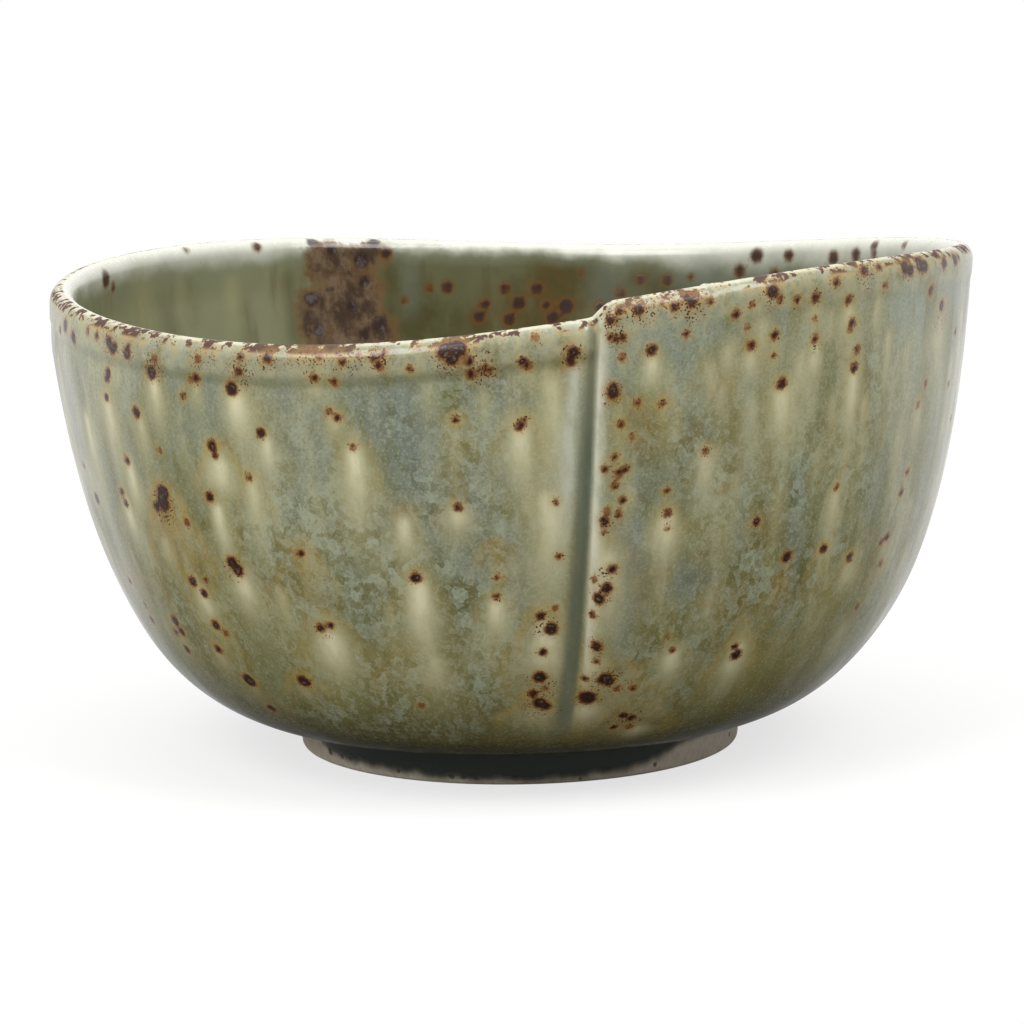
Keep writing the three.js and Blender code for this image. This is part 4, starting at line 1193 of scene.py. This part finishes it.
# The glaze runs thin and pale over the lip, with a painted highlight along its crest, and rust breaks
# through it
def lipTone(r, tone, colour, belowRim):
    patches = r.cloud("lipPatches")
    dust = r.cloud("lipDust")
    band = r.times(r.spread(belowRim, 5.4, 3.4), r.spread(patches, 0.35, 0.6, 0.15, 0.7))
    colour = r.mix(band, colour, tone["bandPale"])
    colour = r.mix(r.times(r.field("bandLine"), 0.5), colour, tone["bandLine"])
    torn = r.plus(patches, r.times(r.maths("SUBTRACT", dust, 0.5), 0.3))
    torn = r.plus(torn, r.times(r.field("torn"), 0.16))
    stain = r.times(r.spread(belowRim, 2.6, 0.6), r.spread(torn, 0.5, 0.66, 0, 0.6))
    colour = r.mix(stain, colour, tone["ochre"])
    # Along the crest: thin pale glaze and a painted highlight
    colour = r.mix(r.spread(belowRim, 0.45, 0.05, 0, 0.55), colour, tone["lipCreamAndHighlight"])
    breaks = r.times(r.spread(torn, 0.56, 0.61), r.spread(belowRim, 1.3, 0.7))
    colour = r.mix(r.times(breaks, 0.92), colour, tone["rust"])
    darker = r.times(r.spread(torn, 0.58, 0.63), r.spread(belowRim, 1.2, 0.6))
    return r.mix(r.times(darker, 0.92), colour, tone["iron"]), breaks


def insideTone(r, tone, belowRim):
    split = r.node("ShaderNodeSeparateXYZ")
    r.put(split.inputs[0], r.place((1, 1, 1)))
    clouds = r.cloud("insideClouds")
    streaks = r.cloud("insideStreaks")
    colour = r.mix(r.spread(clouds, 0.38, 0.62), tone["insideGreen"], tone["insideOlive"])
    colour = r.mix(r.spread(split.outputs[0], -12, -40, 0, 0.8), colour, tone["insideLight"])
    colour = r.mix(r.spread(streaks, 0.52, 0.72, 0, 0.4), colour, tone["insideOlive"])
    # Blue-grey streaks on the inside wall: partly glaze, partly a painted reflection
    colour = r.mix(r.times(r.field("cool"), 0.8), colour, tone["insideCoolAndReflection"])
    deep = r.times(r.field("deep"), r.spread(clouds, 0.35, 0.6, 0.3, 0.8))
    colour = r.mix(deep, colour, tone["insideOlive"])
    colour = dripTone(r, tone, colour, tone["insideCream"], tone["insideOchre"])
    wavy = r.plus(belowRim, r.times(r.maths("SUBTRACT", r.cloud("insideWaves"), 0.5), 3))
    wide = r.plus(r.spread(split.outputs[0], -14, -44, 1, 1.9), r.spread(split.outputs[0], 8, 36, 0, 1.2))
    colour = r.mix(r.spread(wavy, r.times(wide, 4.2), 1, 0, 0.6), colour, tone["insidePale"])
    colour = r.mix(r.spread(wavy, r.times(wide, 2.4), 0, 0, 0.85), colour, tone["insideRim"])

    # Where iron ran down: a brown patch with dark lobes, some of them with a violet sheen
    ragged = r.cloud("patchLobes")
    fineRagged = r.cloud("patchEdges")
    torn = r.plus(r.times(ragged, 0.9), r.times(fineRagged, 0.5))
    patch = r.plus(r.field("patch"), torn)
    patch = r.times(patch, r.spread(r.plus(belowRim, r.times(torn, 2)), 1.4, 3.4, 0.6, 1))
    colour = r.mix(r.spread(patch, 0.85, 1.15, 0, 0.7), colour, tone["patchEdge"])
    patch = r.spread(patch, 1.02, 1.4)
    brown = r.mix(r.spread(fineRagged, 0.4, 0.6), tone["patchBrown"], tone["patchGrey"])
    brown = r.mix(r.spread(ragged, 0.44, 0.62, 0, 0.85), brown, tone["patchViolet"])
    colour = r.mix(r.times(patch, 0.92), colour, brown)
    dark = r.spread(r.plus(r.field("patchDark"), r.times(fineRagged, 0.6)), 0.6, 1.05)
    colour = r.mix(r.times(dark, 0.9), colour, tone["patchViolet"])
    sheen = r.times(r.spread(dark, 0.5, 1), r.spread(fineRagged, 0.46, 0.7), 0.6)
    return r.mix(sheen, colour, tone["patchSheen"])


# Iron: a rusty fringe, a dark spot with a ragged edge, a pale glassy heart in some, partly a painted
# highlight, and fine flecks
def ironTone(r, tone, colour, inside):
    outside = r.rest(inside)
    fray = r.cloud("ironFray")
    lobes = r.cloud("ironLobes")
    spot = r.field("spot")
    frayed = r.times(r.maths("SUBTRACT", fray, 0.5), 0.4)
    jitter = r.plus(frayed, r.times(r.maths("SUBTRACT", lobes, 0.5), 0.55))
    reach = r.plus(spot, r.times(jitter, r.spread(inside, 0, 1, 1, 0.5)))
    halo = r.mix(inside, tone["ochre"], tone["insideOchre"])
    around = r.spread(spot, r.spread(inside, 0, 1, -1.3, -0.8), 0.1)
    colour = r.mix(r.times(around, r.spread(inside, 0, 1, 0.36, 0.85)), colour, halo)
    colour = r.mix(r.times(r.spread(reach, -0.36, 0.04), outside, 0.85), colour, tone["rust"])
    core = r.times(r.spread(reach, 0.0, 0.22), outside)
    core = r.plus(core, r.times(r.spread(reach, -0.3, 0.25), inside, 0.95))
    iron = r.mix(r.spread(reach, 0.15, 0.4), tone["iron"], tone["ironHeart"])
    # Pale glassy hearts: glass in the spot, lightened as a painted highlight
    shines = r.times(r.spread(fray, 0.5, 0.58), r.spread(lobes, 0.44, 0.52))
    glassyHighlight = r.times(r.spread(reach, 0.36, 0.5), shines, outside, 0.7)
    colour = r.mix(core, colour, r.mix(glassyHighlight, iron, tone["ironGlassHighlight"]))

    # Flecks lie near the spots and in the clumps below the rim
    ground = r.maths("MAXIMUM", r.field("fleck"), r.spread(spot, -1.0, 0.0, 0, 0.4))
    wash = r.times(r.field("fleck"), r.spread(lobes, 0.35, 0.65, 0.1, 0.6))
    colour = r.mix(r.times(wash, outside, r.rest(core)), colour, tone["brown"])
    dust = r.cloud("ironDust")
    dust = r.plus(dust, r.times(ground, 0.15))
    flecks = r.times(r.spread(dust, 0.65, 0.69), r.spread(ground, 0.08, 0.3), outside)
    colour = r.mix(r.times(flecks, 0.9), colour, tone["rust"])
    dark = r.times(r.spread(dust, 0.66, 0.7), r.spread(ground, 0.15, 0.4), outside)
    return r.mix(r.times(dark, 0.9), colour, tone["iron"]), core


def glazeMaterial():
    r = Recipe(bpy.data.materials.new("running_sage_glaze"))
    tone = {name: paint(*value) for name, value in glaze.items()}
    split = r.node("ShaderNodeSeparateXYZ")
    r.put(split.inputs[0], r.place((1, 1, 1)))
    z = split.outputs[2]
    inside, belowRim = r.field("inside"), r.field("belowRim")
    colour = bodyTone(r, tone)
    for coat in (streakTone, flakeTone, grainAndHipShade):
        colour = coat(r, tone, z, colour)
    colour = dripTone(r, tone, colour, tone["cream"], tone["ochre"])
    colour, breaks = lipTone(r, tone, lapTone(r, tone, z, colour), belowRim)
    colour = r.mix(inside, colour, insideTone(r, tone, belowRim))
    colour, core = ironTone(r, tone, colour, inside)

    # Smooth glass, duller on the iron, with the slow waves of a running glaze
    milkyAndSheen = r.cloud("glossClouds")
    dull = r.maths("MAXIMUM", r.times(core, 0.12), r.times(breaks, 0.4))
    gloss = r.plus(r.spread(milkyAndSheen, 0.35, 0.65, 0.16, 0.26), dull)
    normal = r.bump(r.cloud("slowWaves"), 0.4, 0.5)
    normal = r.bump(r.cloud("smallWaves"), 0.25, 0.03, normal)
    normal = r.bump(core, 0.5, 0.05, normal)
    return r.shader(colour, gloss, normal, IOR=1.5)


clay = {
    "clay": (198, 186, 168),
    "clayPale": (216, 205, 188),
    "speck": (84, 54, 36),
    "glazeBand": (70, 74, 70),
    "glazeEdge": (70, 68, 50),
}


def footMaterial():
    r = Recipe(bpy.data.materials.new("bare_clay_under_dark_glaze"))
    tone = {name: paint(*value) for name, value in clay.items()}
    grain = r.cloud("clayGrain")
    fray = r.cloud("clayFray")
    colour = r.mix(r.spread(grain, 0.3, 0.7), tone["clay"], tone["clayPale"])
    speck = r.plus(r.field("speck"), r.times(r.maths("SUBTRACT", fray, 0.5), 0.5))
    colour = r.mix(r.spread(speck, -0.2, 0.1, 0, 0.85), colour, tone["speck"])
    runs = r.cloud("glazeRuns")
    line = r.plus(r.field("glazed"), r.times(r.maths("SUBTRACT", runs, 0.5), 1.5))
    colour = r.mix(r.spread(line, -1.0, 0.4, 0, 0.85), colour, tone["glazeEdge"])
    glazed = r.spread(line, -0.05, 0.75)
    colour = r.mix(glazed, colour, tone["glazeBand"])
    roughness = r.maths("SUBTRACT", 0.8, r.times(glazed, 0.55))
    normal = r.bump(grain, 0.4, 0.08)
    normal = r.bump(glazed, 0.5, 0.15, normal)
    return r.shader(colour, roughness, normal, IOR=1.5)


sageGlaze = glazeMaterial()
footClay = footMaterial()
print("materials made")


def alongSections(points, start=0.0):
    steps = np.linalg.norm(np.diff(points, axis=1), axis=-1)
    return start + np.concatenate([np.zeros((len(points), 1)), np.cumsum(steps, 1)], 1)


def buildWall():
    normals = gridNormals(wallPoints)
    mesh = gridMesh("lapped_wall_glazed", wallPoints)
    isInside = np.zeros(wallPoints.shape[:2], bool)
    isInside[:, wallRows + grid["lipRows"] // 2:] = True
    section = alongSections(wallPoints).reshape(-1)
    fields, flow = glazeMarks(wallPoints.reshape(-1, 3), isInside.reshape(-1), section)
    addFields(mesh, fields, flow)
    normals = normals.reshape(-1, 3)
    return finishPiece("lapped_wall_glazed", mesh, normals, sageGlaze, "lapped_wall")


def buildFloor():
    middleRow = underRows + hipRows
    normals = gridNormals(floorPoints, (underRows, middleRow))
    normals[:, :underRows] = (0, 0, -1)
    extra = [((0, 0, body["footHeight"]), 0, True), ((0, 0, floorTop), floorPoints.shape[1] - 1, False)]
    mesh = gridMesh("floor_slab_glazed", floorPoints, extra, closeRows=False)
    isInside = np.zeros(floorPoints.shape[:2], bool)
    isInside[:, middleRow:] = True
    below = alongSections(floorPoints[:, :middleRow])
    wallEnd = alongSections(wallPoints)[:, -1:]
    dish = alongSections(floorPoints[:, middleRow:], wallEnd)
    section = np.concatenate([below - below[:, -1:], dish], 1).reshape(-1)
    points = np.concatenate([floorPoints.reshape(-1, 3), [e[0] for e in extra]])
    allInside = np.concatenate([isInside.reshape(-1), [False, True]])
    allNormals = np.concatenate([normals.reshape(-1, 3), [[0, 0, -1], [0, 0, 1]]])
    middles = (-60, 175)  # how far along the section the two middle points lie
    fields, flow = glazeMarks(points, allInside, np.concatenate([section, middles]))
    addFields(mesh, fields, flow)
    return finishPiece("floor_slab_glazed", mesh, allNormals, sageGlaze, "floor_slab")


def buildFoot():
    outer = foot["radius"] - foot["taper"]
    inner = outer - foot["width"]
    edge = foot["chamfer"]
    height = body["footHeight"]
    bend = np.linspace(0, math.pi / 2, grid["footEdgeRows"])
    rise, fall = np.linspace(0, 1, grid["footWallRows"])[1:], np.linspace(1, 0, grid["footInnerRows"])
    outerEdge = [(outer - edge + edge * math.sin(t), edge - edge * math.cos(t)) for t in bend]
    outerWall = [(outer + foot["taper"] * s, edge + (height - edge) * s) for s in rise]
    innerWall = [(inner - foot["innerTaper"] * s, edge + (height - edge) * s) for s in fall]
    innerEdge = [(inner + edge - edge * math.cos(t), edge - edge * math.sin(t)) for t in bend][1:]
    profile = np.array(outerEdge + outerWall + innerWall + innerEdge)
    turn = np.radians(np.arange(0, 360, grid["footTurn"]))[:, None]
    radius, z = profile[None, :, 0], profile[None, :, 1]
    points = np.stack([radius * np.cos(turn) + foot["offset"], radius * np.sin(turn), z + 0 * turn], -1)
    mesh = gridMesh("foot_ring_clay", points)
    x, y, heights = points.reshape(-1, 3).T
    angle = np.degrees(np.arctan2(y, x - foot["offset"]))
    turns, line = np.array(foot["glazeLine"]).T
    isOuter = np.hypot(x - foot["offset"], y) > outer - edge * 0.7
    glazed = heights - np.interp(angle, turns, line, period=360)
    speck = np.full(len(x), -1.0)
    for at, up, size in foot["specks"]:
        across = np.radians((angle - at + 180) % 360 - 180) * outer
        speck = np.maximum(speck, size - np.hypot(across, heights - up))
    glazed = np.where(isOuter, np.clip(glazed, -2, 2), -2)
    addFields(mesh, {"glazed": glazed, "speck": speck * isOuter - ~isOuter})
    return finishPiece("foot_ring_clay", mesh, None, footClay, "foot_ring")


wall = buildWall()
floorSlab = buildFloor()
footRing = buildFoot()
print("pieces made:", [(o.name, len(o.data.vertices)) for o in (wall, floorSlab, footRing)])


# Stage, lights and camera

stage = {
    "floorSize": 8.0,
    "floorTone": (236, 236, 235),
    "bounceTone": (158, 157, 152),
    # the paper in front of the bowl, as the glaze mirrors it, painted dark: a painted shadow
    "mirroredShadowTone": (52, 50, 46),
    "shadowKept": 0.3,  # how much of the shadow shows under the bowl
    "whiteFrom": 0.05,
    "whiteTo": 0.17,
    "dimFront": 0.25,  # the room mirrored in the glaze is dimmer on the camera's side
    "dimFrom": -0.04,
    "dimTo": 0.06,
    "farFrom": 0.12,
    "farTo": 0.4,
}


def buildStage():
    half = stage["floorSize"] / 2
    mesh = bpy.data.meshes.new("studio_floor")
    corners = [(-half, -half, 0), (half, -half, 0), (half, half, 0), (-half, half, 0)]
    mesh.from_pydata(corners, [], [(0, 1, 2, 3)])
    floor = bpy.data.objects.new("studio_floor", mesh)
    bpy.context.scene.collection.objects.link(floor)
    r = Recipe(bpy.data.materials.new("studio_paper"))
    rays = r.node("ShaderNodeLightPath")
    seen = r.maths("MAXIMUM", rays.outputs["Is Camera Ray"], rays.outputs["Is Transmission Ray"])
    mirrored = rays.outputs["Is Glossy Ray"]
    coords = r.node("ShaderNodeTexCoord").outputs["Object"]
    length = r.node("ShaderNodeVectorMath", operation="LENGTH")
    r.put(length.inputs[0], coords)
    away = length.outputs["Value"]
    paper = r.node("ShaderNodeBsdfDiffuse")
    # Glossy rays see the paper in front of the bowl painted dark: a painted shadow in the glaze's
    # reflections
    bounceAndMirroredShadow = r.mix(mirrored, paint(*stage["bounceTone"]), paint(*stage["mirroredShadowTone"]))
    r.put(paper.inputs["Color"], r.mix(seen, bounceAndMirroredShadow, paint(*stage["floorTone"])))
    bright = r.node("ShaderNodeEmission")
    bright.inputs["Strength"].default_value = 1
    white = r.spread(away, stage["whiteFrom"], stage["whiteTo"], 1 - stage["shadowKept"], 1)
    whiteSeen = r.times(seen, white)
    split = r.node("ShaderNodeSeparateXYZ")
    r.put(split.inputs[0], coords)
    far = r.spread(away, stage["farFrom"], stage["farTo"], 0, stage["dimFront"])
    behind = r.spread(split.outputs[1], stage["dimFrom"], stage["dimTo"])
    whiteMirrored = r.times(mirrored, r.maths("MAXIMUM", far, behind))
    blend = r.node("ShaderNodeMixShader")
    r.put(blend.inputs[0], r.plus(whiteSeen, whiteMirrored))
    r.put(blend.inputs[1], paper.outputs[0])
    r.put(blend.inputs[2], bright.outputs[0])
    out = r.node("ShaderNodeOutputMaterial")
    r.put(out.inputs["Surface"], blend.outputs[0])
    mesh.materials.append(r.owner)
    return floor


lights = [
    # name, place, size, power
    ("left_softbox", (-0.6, -0.62, 0.74), 0.7, 9.9),
    ("right_softbox", (0.62, -0.45, 0.85), 0.6, 7.6),
    ("top_softbox", (0.0, 0.05, 1.0), 0.9, 4.5),
]
surroundings = {
    "lampAim": 0.035,
    "light": 0.6,
    "mirroredFront": 0.3,
    "frontFrom": -0.3,
    "frontTo": 0.25,
}


def buildLights():
    for name, spot, size, power in lights:
        data = bpy.data.lights.new(name, "AREA")
        data.shape = "SQUARE"
        data.size = size
        data.energy = power
        lamp = bpy.data.objects.new(name, data)
        lamp.location = spot
        aim = Vector((0, 0, surroundings["lampAim"])) - Vector(spot)
        lamp.rotation_euler = aim.to_track_quat("-Z", "Y").to_euler()
        bpy.context.scene.collection.objects.link(lamp)
    world = bpy.data.worlds.new("studio")
    r = Recipe(world)
    rays = r.node("ShaderNodeLightPath")
    split = r.node("ShaderNodeSeparateXYZ")
    r.put(split.inputs[0], r.node("ShaderNodeTexCoord").outputs["Generated"])
    front = surroundings["mirroredFront"]
    mirrored = r.spread(split.outputs[1], surroundings["frontFrom"], surroundings["frontTo"], front, 1)
    strength = r.plus(r.times(r.rest(rays.outputs["Is Glossy Ray"]), surroundings["light"]),
                      r.times(rays.outputs["Is Glossy Ray"], mirrored))
    seen = r.maths("MAXIMUM", rays.outputs["Is Camera Ray"], rays.outputs["Is Transmission Ray"])
    strength = r.maths("MAXIMUM", strength, seen)
    background = r.node("ShaderNodeBackground")
    background.inputs["Color"].default_value = (1, 1, 1, 1)
    r.put(background.inputs["Strength"], strength)
    out = r.node("ShaderNodeOutputWorld")
    r.put(out.inputs["Surface"], background.outputs[0])
    bpy.context.scene.world = world


camera = {
    "distance": 0.560,
    "height": 0.1251,
    "aim": 0.03235,
    "lens": 141.0,
    "sensor": 36,
    "roll": -0.98,
    "near": 0.01,
    "far": 50,
}


def buildCamera():
    data = bpy.data.cameras.new("photo_camera")
    data.sensor_width = camera["sensor"]
    data.lens = camera["lens"]
    data.clip_start = camera["near"]
    data.clip_end = camera["far"]
    obj = bpy.data.objects.new("photo_camera", data)
    obj.location = (0, -camera["distance"], camera["height"])
    look = (Vector((0, 0, camera["aim"])) - obj.location).to_track_quat("-Z", "Y")
    obj.rotation_mode = "QUATERNION"
    obj.rotation_quaternion = look @ Quaternion((0, 0, 1), math.radians(camera["roll"]))
    bpy.context.scene.collection.objects.link(obj)
    bpy.context.scene.camera = obj


buildStage()
buildLights()
buildCamera()
bpy.context.scene.view_settings.view_transform = "Standard"
print("stage, lights and camera made")
